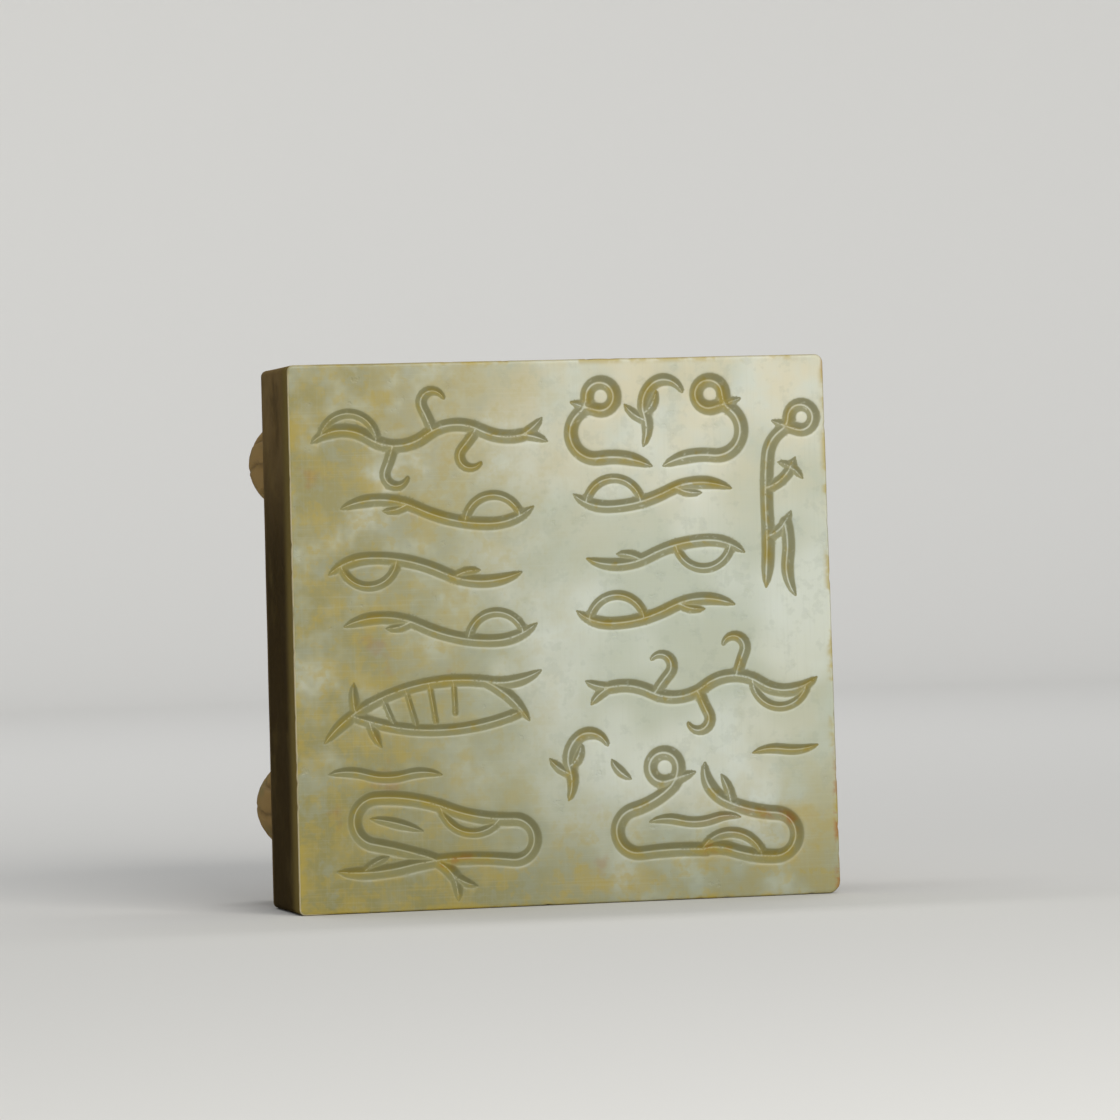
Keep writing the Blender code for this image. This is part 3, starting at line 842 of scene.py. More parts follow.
def limb_routes():
    tail_root = ((0, -30.0, 4, 3.4), (0, -32.0, 11, 3.0), (0, -30.0, 18.0, 2.9), (0, -24.5, 21.6, 2.7),
                 (0, -17.0, 23.4, 2.0))
    routes = [smooth_route(TRUNK, 6), smooth_route(tail_root, 5)]
    for side in (-1, 1):
        forearm = ((side * 29, 20, 6, 4.2), (side * 27.5, 25, 4.6, 4.2), (side * 24, 28.6, 3.0, 3.8))
        shin = ((side * 29, -21, 7, 4.6), (side * 29, -15, 4.6, 4.2), (side * 26.4, -9.5, 2.6, 3.7))
        routes += [smooth_route(forearm, 5), smooth_route(shin, 5), scroll_route(side)]
    return routes


def limb_tree():
    tree, start, end = new_tree("limbs", {"Sides": ("NodeSocketInt", 32)})
    circle = add_node(tree, "GeometryNodeCurvePrimitiveCircle",
                      {"Resolution": start.outputs["Sides"], "Radius": 1.0})
    radius = add_node(tree, "GeometryNodeInputRadius")
    swept = add_node(tree, "GeometryNodeCurveToMesh", {
        "Curve": start.outputs["Geometry"], "Profile Curve": circle.outputs["Curve"],
        "Scale": radius.outputs["Radius"], "Fill Caps": True})
    return end_tree(tree, start, end, swept.outputs["Mesh"])


limb_mesh = run_tree(route_curves("limbs", limb_routes()), limb_tree(), {})
print("limbs:", len(limb_mesh.polygons), "faces")

# %% [markdown]
# ## From masses to one carved form
# Loose balls aren't a carving: where they meet, the stone has to be one skin. A voxel remesh makes
# that skin from all of them at once, and a few rounds of smoothing turn the sharp seams into the soft
# valleys that polishing leaves. The knob's foot reaches a little into the block, to be joined there.

# %% Knob skin
VOXEL = 0.36 * MM
POLISH_ROUNDS = 5


def knob_skin():
    body = bmesh.new()
    for mesh in (mass_mesh, limb_mesh):
        mesh.transform(beast_frame)
        body.from_mesh(mesh)
    bmesh.ops.reverse_faces(body, faces=body.faces)
    skin = object_from(body, "knob")
    remesh = skin.modifiers.new("one skin", "REMESH")
    remesh.mode = "VOXEL"
    remesh.voxel_size = VOXEL
    polish = skin.modifiers.new("polish", "SMOOTH")
    polish.factor = 0.5
    polish.iterations = POLISH_ROUNDS
    skin.data = plain_mesh(skin)
    return skin


knob = knob_skin()
print("knob skin:", len(knob.data.vertices), "points")

# %% [markdown]
# ## Carved lines
# Over the polished masses the carver cut lines: scrolls on the haunches and shoulders, locks of the
# mane, flames on the elbows and knees, eyes, nostrils and mouth. Each line is a route drawn beside
# the stone and laid on it along one direction. A Geometry Nodes tree then measures how far each
# point of the skin is from the nearest line, and pushes the near ones in along their normals.

# %% Routes of the carved lines
LINE_WIDTH = 0.62               # half the width of a main carved line, in steps
FINE_WIDTH = 0.42
ABOVE = 40.0                    # where lines are drawn over the beast, before they are laid on it
BEYOND = 60.0                   # and where they are drawn ahead of it and beside it
COIL_PIECES = 44
COIL_SHRINK = 0.8               # the share of its reach that a coil loses on its way in


def coil(across, ahead, reach, turns, start):
    """A flat spiral that starts wide, seen from above."""
    route = []
    for piece in range(COIL_PIECES + 1):
        share = piece / COIL_PIECES
        angle = math.radians(start) + 2 * math.pi * turns * share
        here = reach * (1 - COIL_SHRINK * share)
        taper = min(1.0, 0.25 + 4 * share, 0.35 + 3 * (1 - share))
        place = (across + here * math.cos(angle), ahead + here * math.sin(angle), ABOVE)
        route.append((*place, LINE_WIDTH * taper))
    return route


def lock(points, width=LINE_WIDTH):
    """A line through a few places that starts thin and ends in a point."""
    route = smooth_route([(*place, 1.0) for place in points], 8)
    last = len(route) - 1
    return [(x, y, z, width * min(1.0, 0.3 + 5 * number / last, 0.15 + 2.4 * (1 - number / last)))
            for number, (x, y, z, _) in enumerate(route)]


def both_sides(routes):
    """Every route and its mirror image on the beast's other side."""
    return [[(side * across, ahead, up, width) for across, ahead, up, width in route]
            for route in routes for side in (1, -1)]


def lines_from_above():
    """Scrolls and locks on the haunches and shoulders, then the mane, the ribs, the tail and the toes."""
    def locks(lines, width):
        return [lock([(*place, ABOVE) for place in line], width) for line in lines]

    limbs = [((18.4, -25.6), (16.8, -30.0), (20.0, -32.2)), ((28.9, -21.6), (31.4, -17.5), (31.0, -13.4)),
             ((17.4, 23.4), (15.8, 17.6), (17.6, 13.6)), ((27.8, 23.6), (31.0, 19.0), (30.6, 15.4))]
    mane = [((across * 0.7, 17.4), (across, 13.6), (across * 1.05, back))
            for across, back in ((2.6, 7.8), (5.2, 9.0), (7.8, 10.6))]
    ribs = [((3.4, ahead), (6.4, ahead - 0.9), (8.4, ahead - 3.0)) for ahead in (-10.5, -5.2, 0.1, 5.0)]
    tail = [(across, ahead, ABOVE, FINE_WIDTH * (0.9 - 0.4 * number / SCROLL_PIECES))
            for number, (across, ahead, _, _) in enumerate(scroll_route(1))][6:]
    toes = [((middle + gap, ahead - 1.4), (middle + gap, ahead + 3.6))
            for middle, ahead in ((23.4, 28.8), (26.0, -9.2)) for gap in (-1.8, 1.8)]
    cheek = ((8.0, 22.6), (9.0, 19.4), (9.8, 16.2))
    return ([coil(23.4, -22.8, 5.6, 1.55, 200), coil(22.6, 22.0, 5.4, -1.5, 170)] + locks(limbs, LINE_WIDTH)
            + locks(mane + ribs, FINE_WIDTH) + [tail] + locks(toes + [cheek], FINE_WIDTH))


def lines_from_ahead():
    """The beast's eyes, brows, nostrils, mouth and whiskers, laid on from beyond its muzzle."""
    eye = [(4.6 + 2.2 * math.cos(turn), BEYOND, 23.2 + 1.9 * math.sin(turn), FINE_WIDTH)
           for turn in np.linspace(0, 2 * math.pi, 30)]
    nostril = [(1.15, BEYOND, 19.6, 0.7), (1.45, BEYOND, 19.2, 0.55)]
    brow, mouth, upper_whisker, lower_whisker = (
        lock([(across, BEYOND, up) for across, up in line], width) for line, width in (
            (((0.8, 25.0), (4.2, 27.4), (8.2, 26.8)), FINE_WIDTH),
            (((0.0, 14.4), (3.0, 13.6), (6.4, 14.8), (8.4, 17.0)), LINE_WIDTH),
            (((2.6, 18.4), (5.4, 18.0), (7.4, 19.6)), FINE_WIDTH),
            (((7.6, 14.6), (9.6, 14.4), (11.4, 15.6)), FINE_WIDTH)))
    return [eye, brow, nostril, mouth, upper_whisker, lower_whisker]


def lines_from_the_sides():
    """Flames on the elbows and knees, which show past the block's edges."""
    flames = ((18.6, 9.6, 1), (22.2, 10.4, 1), (25.8, 9.8, 1), (-26.0, 10.6, -1), (-22.4, 11.4, -1),
              (-18.8, 10.8, -1))
    return [lock([(BEYOND, ahead, up - 3.4), (BEYOND, ahead + 0.9 * lean, up),
                  (BEYOND, ahead - 0.4 * lean, up + 4.8)]) for ahead, up, lean in flames]


def laid(route, direction):
    """The route moved along the direction until it lies on the stone, in the seal's frame."""
    way = (beast_frame.to_3x3() @ direction).normalized()
    on_stone = []
    for across, ahead, up, width in route:
        hit = stone.ray_cast(beast_frame @ Vector((across, ahead, up)), way)[0]
        if hit is not None:
            on_stone.append((*hit, width * MM))
    return on_stone


stone = BVHTree.FromPolygons([vert.co for vert in knob.data.vertices],
                             [polygon.vertices for polygon in knob.data.polygons])
drawn = [(route, Vector((0, 0, -1))) for route in both_sides(lines_from_above())]
drawn += [(route, Vector((0, -1, 0))) for route in both_sides(lines_from_ahead())]
drawn += [(route, Vector((-math.copysign(1, route[0][0]), 0, 0)))
          for route in both_sides(lines_from_the_sides())]
carved_lines = route_curves("carved lines", [laid(route, way) for route, way in drawn])
print(len(carved_lines.data.splines), "carved lines")

# %% Geometry Nodes: cutting the lines into the skin
LINE_DEPTH = 0.5 * MM           # of a main line; a finer one is shallower in proportion


def line_tree():
    tree, start, end = new_tree("carved lines", {
        "Lines": ("NodeSocketObject", None), "Full Width": ("NodeSocketFloat", LINE_WIDTH * MM),
        "Depth": ("NodeSocketFloat", LINE_DEPTH)})
    lines = add_node(tree, "GeometryNodeObjectInfo", {"Object": start.outputs["Lines"]})
    radius = add_node(tree, "GeometryNodeInputRadius")
    kept = add_node(tree, "GeometryNodeCaptureAttribute", {"Geometry": lines.outputs["Geometry"]})
    kept.capture_items.new("FLOAT", "Half Width")
    tree.links.new(radius.outputs["Radius"], kept.inputs["Half Width"])
    wires = add_node(tree, "GeometryNodeCurveToMesh", {"Curve": kept.outputs["Geometry"]})
    near = add_node(tree, "GeometryNodeProximity", {"Target": wires.outputs["Mesh"]}, target_element="EDGES")
    index = add_node(tree, "GeometryNodeSampleNearest", {"Geometry": wires.outputs["Mesh"]})
    half = add_node(tree, "GeometryNodeSampleIndex", {
        "Geometry": wires.outputs["Mesh"], "Value": kept.outputs["Half Width"],
        "Index": index.outputs["Index"]}).outputs["Value"]
    across = add_node(tree, "ShaderNodeMath", {0: near.outputs["Distance"], 1: half}, operation="DIVIDE")
    section = add_node(tree, "ShaderNodeMapRange", {
        "Value": across.outputs[0], "From Min": 0.1, "From Max": 1.25, "To Min": 1.0, "To Max": 0.0},
        interpolation_type="SMOOTHSTEP")
    size = add_node(tree, "ShaderNodeMath", {0: half, 1: start.outputs["Full Width"]}, operation="DIVIDE")
    share = add_node(tree, "ShaderNodeMath", {0: section.outputs["Result"], 1: size.outputs[0]},
                     operation="MULTIPLY")
    depth = add_node(tree, "ShaderNodeMath", {0: share.outputs[0], 1: start.outputs["Depth"]},
                     operation="MULTIPLY")
    inward = add_node(tree, "ShaderNodeMath", {0: depth.outputs[0], 1: -1.0}, operation="MULTIPLY")
    normal = add_node(tree, "GeometryNodeInputNormal")
    push = add_node(tree, "ShaderNodeVectorMath", {0: normal.outputs[0], "Scale": inward.outputs[0]},
                    operation="SCALE")
    cut = add_node(tree, "GeometryNodeSetPosition", {
        "Geometry": start.outputs["Geometry"], "Offset": push.outputs[0]})
    marked = add_node(tree, "GeometryNodeStoreNamedAttribute", {
        "Geometry": cut.outputs["Geometry"], "Name": "carved", "Value": share.outputs[0]})
    return end_tree(tree, start, end, marked.outputs["Geometry"])


knob.data = run_tree(knob, line_tree(), {"Lines": carved_lines})
carved_places = [vert.co.copy() for vert in knob.data.vertices]
carved_values = np.zeros(len(carved_places), dtype=np.float32)
knob.data.attributes["carved"].data.foreach_get("value", carved_values)
print("points in carved lines:", int((carved_values > 0.1).sum()))

# %% [markdown]
# ## One closed piece
# The real seal is one stone, so the block and the knob become one skin. The knob's flat stretches
# don't need such small triangles, so it is thinned first, and then joined to the block by a Boolean
# union. Last, the block's plain front cap makes way for the engraved face, which shares its rim.

# %% Join
KNOB_TRIANGLES = 72000


def joined_stone():
    thin = knob.modifiers.new("thinner", "DECIMATE")
    thin.ratio = KNOB_TRIANGLES / (2 * len(knob.data.polygons))
    knob.data = plain_mesh(knob)
    union = block.modifiers.new("knob", "BOOLEAN")
    union.operation = "UNION"
    union.solver = "EXACT"
    union.object = knob
    return plain_mesh(block)


def swap_front(mesh):
    """Put the engraved face in the place of the plain front cap."""
    body = bmesh.new()
    body.from_mesh(mesh)
    cap = max((face for face in body.faces if abs(face.calc_center_median().y - FRONT) < 0.01 * MM),
              key=lambda face: face.calc_area())
    bmesh.ops.delete(body, geom=[cap], context="FACES_ONLY")
    verts = [body.verts.new((u, FRONT + depth, MIDDLE + v)) for (u, v), depth in zip(flat_places, face_depth)]
    for corners in flat_faces:
        body.faces.new([verts[corner] for corner in corners])
    bmesh.ops.delete(body, geom=[vert for vert in body.verts if not vert.link_faces], context="VERTS")
    rim = [vert for vert in body.verts if vert.co.y < FRONT + MERGING]
    bmesh.ops.remove_doubles(body, verts=rim, dist=MERGING)
    bmesh.ops.triangulate(body, faces=[face for face in body.faces if len(face.verts) > 4])
    bmesh.ops.recalc_face_normals(body, faces=body.faces)
    print("open edges:", sum(not edge.is_manifold for edge in body.edges))
    return object_from(body, "jade_seal_stone")


jade_stone = swap_front(joined_stone())
stone_mesh = jade_stone.data
stone_mesh.calc_loop_triangles()
print("joined stone:", len(stone_mesh.loop_triangles), "triangles")

# %% [markdown]
# ## What each point of the stone remembers
# The finish depends on where a point lies: in a groove, on its lip, on a side, on the knob or down in
# a valley of the carving, which is coloured darker. Each of these is worked out once and stored on the
# mesh as an attribute, so the material looks the same from every side and needs no picture.

# %% Attributes for the finish
HOLLOW_ROUNDS = 24              # of smoothing, which sets how wide a hollow is felt
HOLLOW_DEPTH = 0.35 * MM        # that counts as a full hollow
CARVED_FULL = 0.6               # the share of a main line's depth that counts as full
OPEN_STONE = 0.002              # the groove's share below which a point lies outside every groove
KNOB_FOOT = 0.2                 # in millimetres, where the knob's finish begins behind the block


def hollowness(mesh, places):
    """How far each point lies below its smoothed surroundings: positive in hollows."""
    pairs = np.empty(len(mesh.edges) * 2, dtype=np.int64)
    mesh.edges.foreach_get("vertices", pairs)
    first, second = pairs.reshape(-1, 2).T
    count = np.bincount(pairs, minlength=len(places))[:, None]
    smooth = places.copy()
    for _ in range(HOLLOW_ROUNDS):
        total = np.stack([np.bincount(first, column[second], len(places))
                          + np.bincount(second, column[first], len(places)) for column in smooth.T], axis=1)
        smooth = 0.5 * smooth + 0.5 * total / count
    normals = np.empty(len(places) * 3, dtype=np.float32)
    mesh.vertex_normals.foreach_get("vector", normals)
    return ((smooth - places) * normals.reshape(-1, 3)).sum(axis=1)


def store(mesh, name, values):
    attribute = mesh.attributes.new(name, "FLOAT", "POINT")
    attribute.data.foreach_set("value", np.clip(values, 0, 1).astype(np.float32))
    print(f"{name}: {int((values > 0.5).sum())} points")


def carved_at(places):
    """The depth of the carved lines at each place, from the nearest point of the finer skin."""
    finder = KDTree(len(carved_places))
    for number, place in enumerate(carved_places):
        finder.insert(place, number)
    finder.balance()
    found = (finder.find(place)[1:] for place in places)
    return np.array([carved_values[number] * (distance < VOXEL) for number, distance in found])


def remember(mesh):
    places = points_of(mesh)
    behind = places[:, 1] - FRONT
    front = behind < 1.2 * GROOVE_DEPTH  # the face and everything in its grooves
    groove, lip = np.zeros(len(places)), np.zeros(len(places))
    _, lip[front], nearest = carve(places[front][:, [0, 2]] - (0, MIDDLE))
    groove[front] = groove_section(nearest)
    store(mesh, "groove", groove)
    store(mesh, "lip", lip)
    store(mesh, "side", np.where(groove > OPEN_STONE, 0, behind / FACE_EDGE_RADIUS))
    store(mesh, "knob", (places[:, 1] - BACK) / MM - KNOB_FOOT)
    store(mesh, "hollow", hollowness(mesh, places) / HOLLOW_DEPTH * (places[:, 1] > BACK - MM))
    store(mesh, "carved", carved_at(places) / CARVED_FULL)


remember(stone_mesh)

# %% [markdown]
# ## Nephrite, carved and hand-polished
# Nephrite is a felt of fine fibres, so it takes a soft greasy polish, not a glassy one, and light goes
# a millimetre or two into it. This stone is a clouded grey-green with a warm cream tone. Iron has
# stained it ochre along its skin, its edges and some grooves, and its sides are brown. Some layers
# also paint light and shade. The face is lighter at the top and darker at the lower left, partly its
# own tone and partly painted light from the upper right. The warm rim is partly a painted glow of
# light through the thin edge. The sides are darkened further back as painted shade, and the grooves'
# walls partly as painted shade. The grooves' bottoms, their lips and the face's left edge get painted
# highlights. The material starts from the pale stone and lays one clouded layer after another over
# it, each a noise of a real size in millimetres that is let through only where its mask is.

# %% Colours
def colour(hex_code):
    """An sRGB hex colour as the linear values that a shader takes."""
    values = (int(hex_code[place:place + 2], 16) / 255 for place in (1, 3, 5))
    linear = (value / 12.92 if value <= 0.04045 else ((value + 0.055) / 1.055) ** 2.4 for value in values)
    return (*linear, 1.0)


PALE = "#c4c9be"                # the clear stone, middle right
CREAM = "#cbc09f"
GREY_GREEN = "#9fa58f"
OLIVE = "#7f7c50"
BLUE_GREEN = "#8f9688"          # cool patches among the yellow ones
OCHRE = "#a3903f"
MUSTARD = "#958432"             # dried into the grooves
RUSSET = "#965a24"
WALL_STAIN_AND_SHADE = "#827f58"                # in the grooves, where the polish is duller; partly painted shade on the walls
FLOOR_HIGHLIGHT = "#c3c4a8"          # a painted highlight along the grooves' bottoms
NEAR_SIDE = "#857134"
# the sides' own brown, darkened further as painted shade
SIDE_BROWN_AND_SHADE = "#4a3a1c"
SIDE_TAN = "#927747"
KNOB_TAN = "#ac8d57"
# darker colour for the knob's hollows and carved lines
HOLLOW_DARK = "#2a2011"
print("the clear stone in linear light:", [round(value, 3) for value in colour(PALE)[:3]])

# %% Masks from the stone's own coordinates and attributes
tree = jade.node_tree
tree.nodes.clear()
coords = add_node(tree, "ShaderNodeTexCoord").outputs["Object"]
centred = add_node(tree, "ShaderNodeVectorMath", {0: coords, 1: (0.0, FRONT, MIDDLE)}, operation="SUBTRACT")
spread = add_node(tree, "ShaderNodeVectorMath", {0: centred.outputs[0]}, operation="ABSOLUTE")
place_xyz = add_node(tree, "ShaderNodeSeparateXYZ", {0: centred.outputs[0]}).outputs
spread_xyz = add_node(tree, "ShaderNodeSeparateXYZ", {0: spread.outputs[0]}).outputs

masks = {}
for name in ("groove", "lip", "side", "knob", "hollow", "carved"):
    masks[name] = add_node(tree, "ShaderNodeAttribute", attribute_name=name).outputs["Fac"]

RANGES = (  # a mask, the coordinate it is read from, and where it is nothing and full, in millimetres
    ("left", place_xyz["X"], 12.0, -36.0), ("right", place_xyz["X"], -4.0, 36.0),
    ("low", place_xyz["Z"], 14.0, -35.0), ("top", place_xyz["Z"], 2.0, 34.0),
    ("rim across", spread_xyz["X"], 34.3, 35.3), ("rim up", spread_xyz["Z"], 34.0, 34.9),
    ("far right", place_xyz["X"], 34.7, 35.4), ("low end", place_xyz["Z"], -12.0, -26.0),
    ("bottom", place_xyz["Z"], -16.0, -35.0),
    ("top end", place_xyz["Z"], 30.0, 34.5), ("high end", place_xyz["Z"], 8.0, 33.0),
    ("over streak", place_xyz["Z"], -22.6, -24.6), ("under streak", place_xyz["Z"], -27.4, -25.2),
    ("right third", place_xyz["X"], 14.0, 32.0), ("behind", place_xyz["Y"], 1.4, 6.5),
    ("left end", place_xyz["X"], -31.0, -34.0),
    ("back", place_xyz["Y"], 17.5, 19.6))
for name, coordinate, begins, full in RANGES:
    masks[name] = add_node(tree, "ShaderNodeMapRange", {
        "Value": coordinate, "From Min": begins * MM, "From Max": full * MM},
        interpolation_type="SMOOTHSTEP").outputs["Result"]

BANDS = (  # a mask, the one it is a band of, where it begins and is full, and where it fades and is gone
    ("groove walls", "groove", 0.03, 0.16, 0.82, 0.98), ("groove floor", "groove", 0.88, 0.99, 2.0, 3.0),
    ("round edge", "side", 0.02, 0.25, 0.75, 1.0))
for name, whole, begins, full, fades, gone in BANDS:
    rise = add_node(tree, "ShaderNodeMapRange", {"Value": masks[whole], "From Min": begins, "From Max": full},
                    interpolation_type="SMOOTHSTEP")
    masks[name] = add_node(tree, "ShaderNodeMapRange", {
        "Value": masks[whole], "From Min": fades, "From Max": gone, "To Min": rise.outputs["Result"],
        "To Max": 0.0}, interpolation_type="SMOOTHSTEP").outputs["Result"]

COMBINED = (  # a mask, how it is made, and from which two
    ("rim", "MAXIMUM", "rim across", "rim up"), ("stained corner", "MAXIMUM", "left", "bottom"),
    ("lower left", "MULTIPLY", "left", "low"), ("right rim", "MULTIPLY", "far right", "low end"),
    ("lower right", "MULTIPLY", "right", "low"), ("top corner", "MULTIPLY", "far right", "top end"),
    # dark side: the sides darker further behind the face, partly their brown and partly painted shade
    ("dark side", "MULTIPLY", "side", "behind"), ("valleys", "MULTIPLY", "hollow", "knob"),
    ("lower groove", "MULTIPLY", "low", "groove"), ("side top", "MULTIPLY", "dark side", "high end"),
    ("streak line", "MULTIPLY", "over streak", "under streak"),
    # a painted highlight along the face's left edge
    ("left edge highlight", "MULTIPLY", "left end", "round edge"),
    ("streak", "MULTIPLY", "streak line", "right third"), ("streak groove", "MULTIPLY", "streak", "groove"))
for name, operation, first, second in COMBINED:
    both = add_node(tree, "ShaderNodeMath", {0: masks[first], 1: masks[second]}, operation=operation)
    masks[name] = both.outputs[0]
print(len(masks), "masks")

# %% Patterns for stains and painted light, each a noise of a real size
PATTERNS = (  # name, size in millimetres, and how many finer sizes ride on it
    ("drift", 19.0, 2.0), ("cloud", 9.0, 3.0), ("wisp", 7.0, 3.0), ("patch", 4.0, 3.0), ("fleck", 1.9, 3.0),
    ("grain", 0.8, 1.0))
patterns = {}
for number, (name, size, finer) in enumerate(PATTERNS):
    shift = (0.0, 0.3 * number, 0.1)
    shifted = add_node(tree, "ShaderNodeVectorMath", {0: coords, 1: shift}, operation="ADD")
    patterns[name] = add_node(tree, "ShaderNodeTexNoise", {
        "Vector": shifted.outputs[0], "Scale": 1 / (size * MM), "Detail": finer,
        "Roughness": 0.62}).outputs["Fac"]

HAIRLINES = (  # name, and repeats per millimetre in X, Y and Z
    ("level hairs", (1 / 14.0, 1 / 3.0, 1 / 0.22)), ("upright hairs", (1 / 0.26, 1 / 3.0, 1 / 11.0)))
for name, repeats in HAIRLINES:
    drawn_out = add_node(tree, "ShaderNodeVectorMath", {
        0: coords, 1: tuple(repeat / MM for repeat in repeats)}, operation="MULTIPLY")
    patterns[name] = add_node(tree, "ShaderNodeTexNoise", {
        "Vector": drawn_out.outputs[0], "Scale": 1.0, "Detail": 2.0, "Roughness": 0.7}).outputs["Fac"]
print(len(patterns), "patterns")

# %% Stains, painted light and painted shade, one over another
STAINS_AND_PAINTED_LIGHT = (  # colour, mask, pattern, where the pattern starts and is full, and strength
    (GREY_GREEN, "all", "drift", 0.38, 0.62, 0.60),
    # The cream on the top and the olive on the left and bottom are partly the stone's tone and partly painted
    # light: lighter towards the upper right, where the light falls, and darker towards the lower left.
    (CREAM, "top", "wisp", 0.25, 0.65, 0.65),
    (OLIVE, "lower left", "cloud", 0.00, 0.60, 0.90),
    (OLIVE, "bottom", "cloud", 0.08, 0.58, 0.74),
    (OLIVE, "left", "wisp", 0.16, 0.60, 0.92),
    (OCHRE, "left", "drift", 0.20, 0.55, 0.22),
    (BLUE_GREEN, "stained corner", "patch", 0.48, 0.36, 0.34),
    (OCHRE, "stained corner", "patch", 0.50, 0.66, 0.50),
    (OCHRE, "lower right", "cloud", 0.38, 0.60, 0.36),
    (OCHRE, "stained corner", "fleck", 0.52, 0.64, 0.40),
    (OCHRE, "streak", "patch", 0.30, 0.60, 0.42),
    (BLUE_GREEN, "all", "fleck", 0.46, 0.36, 0.16),
    (RUSSET, "stained corner", "wisp", 0.64, 0.74, 0.28),
    (PALE, "all", "level hairs", 0.52, 0.68, 0.05),
    (GREY_GREEN, "all", "upright hairs", 0.52, 0.68, 0.08),
    # darker groove walls: partly duller stone, partly painted shade
    (WALL_STAIN_AND_SHADE, "groove walls", "grain", 0.00, 0.40, 0.80),
    (MUSTARD, "groove", "wisp", 0.48, 0.60, 0.68),
    (MUSTARD, "groove", "patch", 0.54, 0.62, 0.70),
    (RUSSET, "lower groove", "patch", 0.62, 0.72, 0.50),
    (RUSSET, "streak groove", "fleck", 0.34, 0.56, 0.75),
    # a painted highlight along the grooves' bottoms
    (FLOOR_HIGHLIGHT, "groove floor", "fleck", 0.10, 0.40, 0.55),
    # a painted highlight on the grooves' lips
    (PALE, "lip", "fleck", 0.20, 0.60, 0.12),
    # The ochre and russet on the rim, its right side and its top right corner are partly stain and partly a
    # painted glow of light shining through the thin edge.
    (OCHRE, "rim", "patch", 0.46, 0.60, 0.70),
    (RUSSET, "right rim", "fleck", 0.42, 0.58, 0.70),
    (RUSSET, "top corner", "fleck", 0.34, 0.55, 0.60),
    (NEAR_SIDE, "side", "patch", 0.00, 0.35, 0.95),
    # the sides darker further behind the face: partly their brown, partly painted shade
    (SIDE_BROWN_AND_SHADE, "dark side", "cloud", 0.05, 0.50, 0.95),
    (SIDE_TAN, "side top", "wisp", 0.10, 0.55, 0.80),
    # a painted highlight along the face's left edge
    (CREAM, "left edge highlight", "patch", 0.20, 0.50, 0.75),
    (SIDE_TAN, "back", "cloud", 0.22, 0.62, 0.80),
    (KNOB_TAN, "knob", "cloud", 0.15, 0.55, 0.85),
    (OLIVE, "knob", "patch", 0.52, 0.70, 0.50),
    # darker in the knob's hollows and carved lines
    (HOLLOW_DARK, "valleys", "fleck", 0.10, 0.45, 0.85),
    (HOLLOW_DARK, "carved", "fleck", 0.10, 0.45, 0.75))


def stained(under, stain):
    """Lay one layer over the colour so far; most layers are stains, and some paint light and shade."""
    tint, mask, pattern, begins, full, strength = stain
    through = add_node(tree, "ShaderNodeMapRange", {
        "Value": patterns[pattern], "From Min": begins, "From Max": full, "To Max": strength},
        interpolation_type="SMOOTHSTEP")
    amount = through.outputs["Result"]
    if mask != "all":
        kept = add_node(tree, "ShaderNodeMath", {0: amount, 1: masks[mask]}, operation="MULTIPLY")
        amount = kept.outputs[0]
    layer = add_node(tree, "ShaderNodeMix", {0: amount, 7: colour(tint)}, data_type="RGBA")
    if isinstance(under, str):
        layer.inputs[6].default_value = colour(under)
    else:
        tree.links.new(under, layer.inputs[6])
    return layer.outputs[2]


stone_colour = PALE
for stain in STAINS_AND_PAINTED_LIGHT:
    stone_colour = stained(stone_colour, stain)
print(len(STAINS_AND_PAINTED_LIGHT), "stains")

# %% [markdown]
# ## Polish and wear
# The face was rubbed flat on fine abrasive, up and down and side to side, and that left hairlines in
# both directions. Small pits show where a fibre pulled out. Both are too shallow to model, so they are
# bump; the hairlines are drawn a little coarser than they are, so that they show at all.

# %% Hairlines, pits and gloss
hairs = add_node(tree, "ShaderNodeMath", {
    0: patterns["level hairs"], 1: patterns["upright hairs"]}, operation="ADD")
hair_bump = add_node(tree, "ShaderNodeBump", {
    "Strength": 0.4, "Distance": 0.012 * MM, "Height": hairs.outputs[0]})
pits = add_node(tree, "ShaderNodeMapRange", {
    "Value": patterns["fleck"], "From Min": 0.27, "From Max": 0.33}, interpolation_type="SMOOTHSTEP")
pit_bump = add_node(tree, "ShaderNodeBump", {
    "Strength": 0.5, "Distance": 0.05 * MM, "Height": pits.outputs["Result"],
    "Normal": hair_bump.outputs["Normal"]})

waxy = add_node(tree, "ShaderNodeMapRange", {
    "Value": patterns["patch"], "From Min": 0.3, "From Max": 0.7, "To Min": 0.32, "To Max": 0.46})
duller = add_node(tree, "ShaderNodeMath", {0: masks["groove"], 1: 0.12, 2: waxy.outputs["Result"]},
                  operation="MULTIPLY_ADD")
dull_side = add_node(tree, "ShaderNodeMath", {0: masks["side"], 1: 0.16, 2: duller.outputs[0]},
                     operation="MULTIPLY_ADD")

shader = add_node(tree, "ShaderNodeBsdfPrincipled", {
    "Base Color": stone_colour, "Roughness": dull_side.outputs[0], "IOR": 1.61,
    "Normal": pit_bump.outputs["Normal"], "Specular IOR Level": 0.20,
    "Subsurface Weight": 0.25, "Subsurface Radius": (2.4, 2.2, 1.3), "Subsurface Scale": 0.6 * MM})
add_node(tree, "ShaderNodeOutputMaterial", {"Surface": shader.outputs["BSDF"]})
print("jade material:", len(tree.nodes), "nodes")

# %% [markdown]
# ## The finished piece
# The stone becomes one object that takes the place of the plain solid. It is shaded smooth; its
# edges are modelled round, so no edge has to be marked sharp.

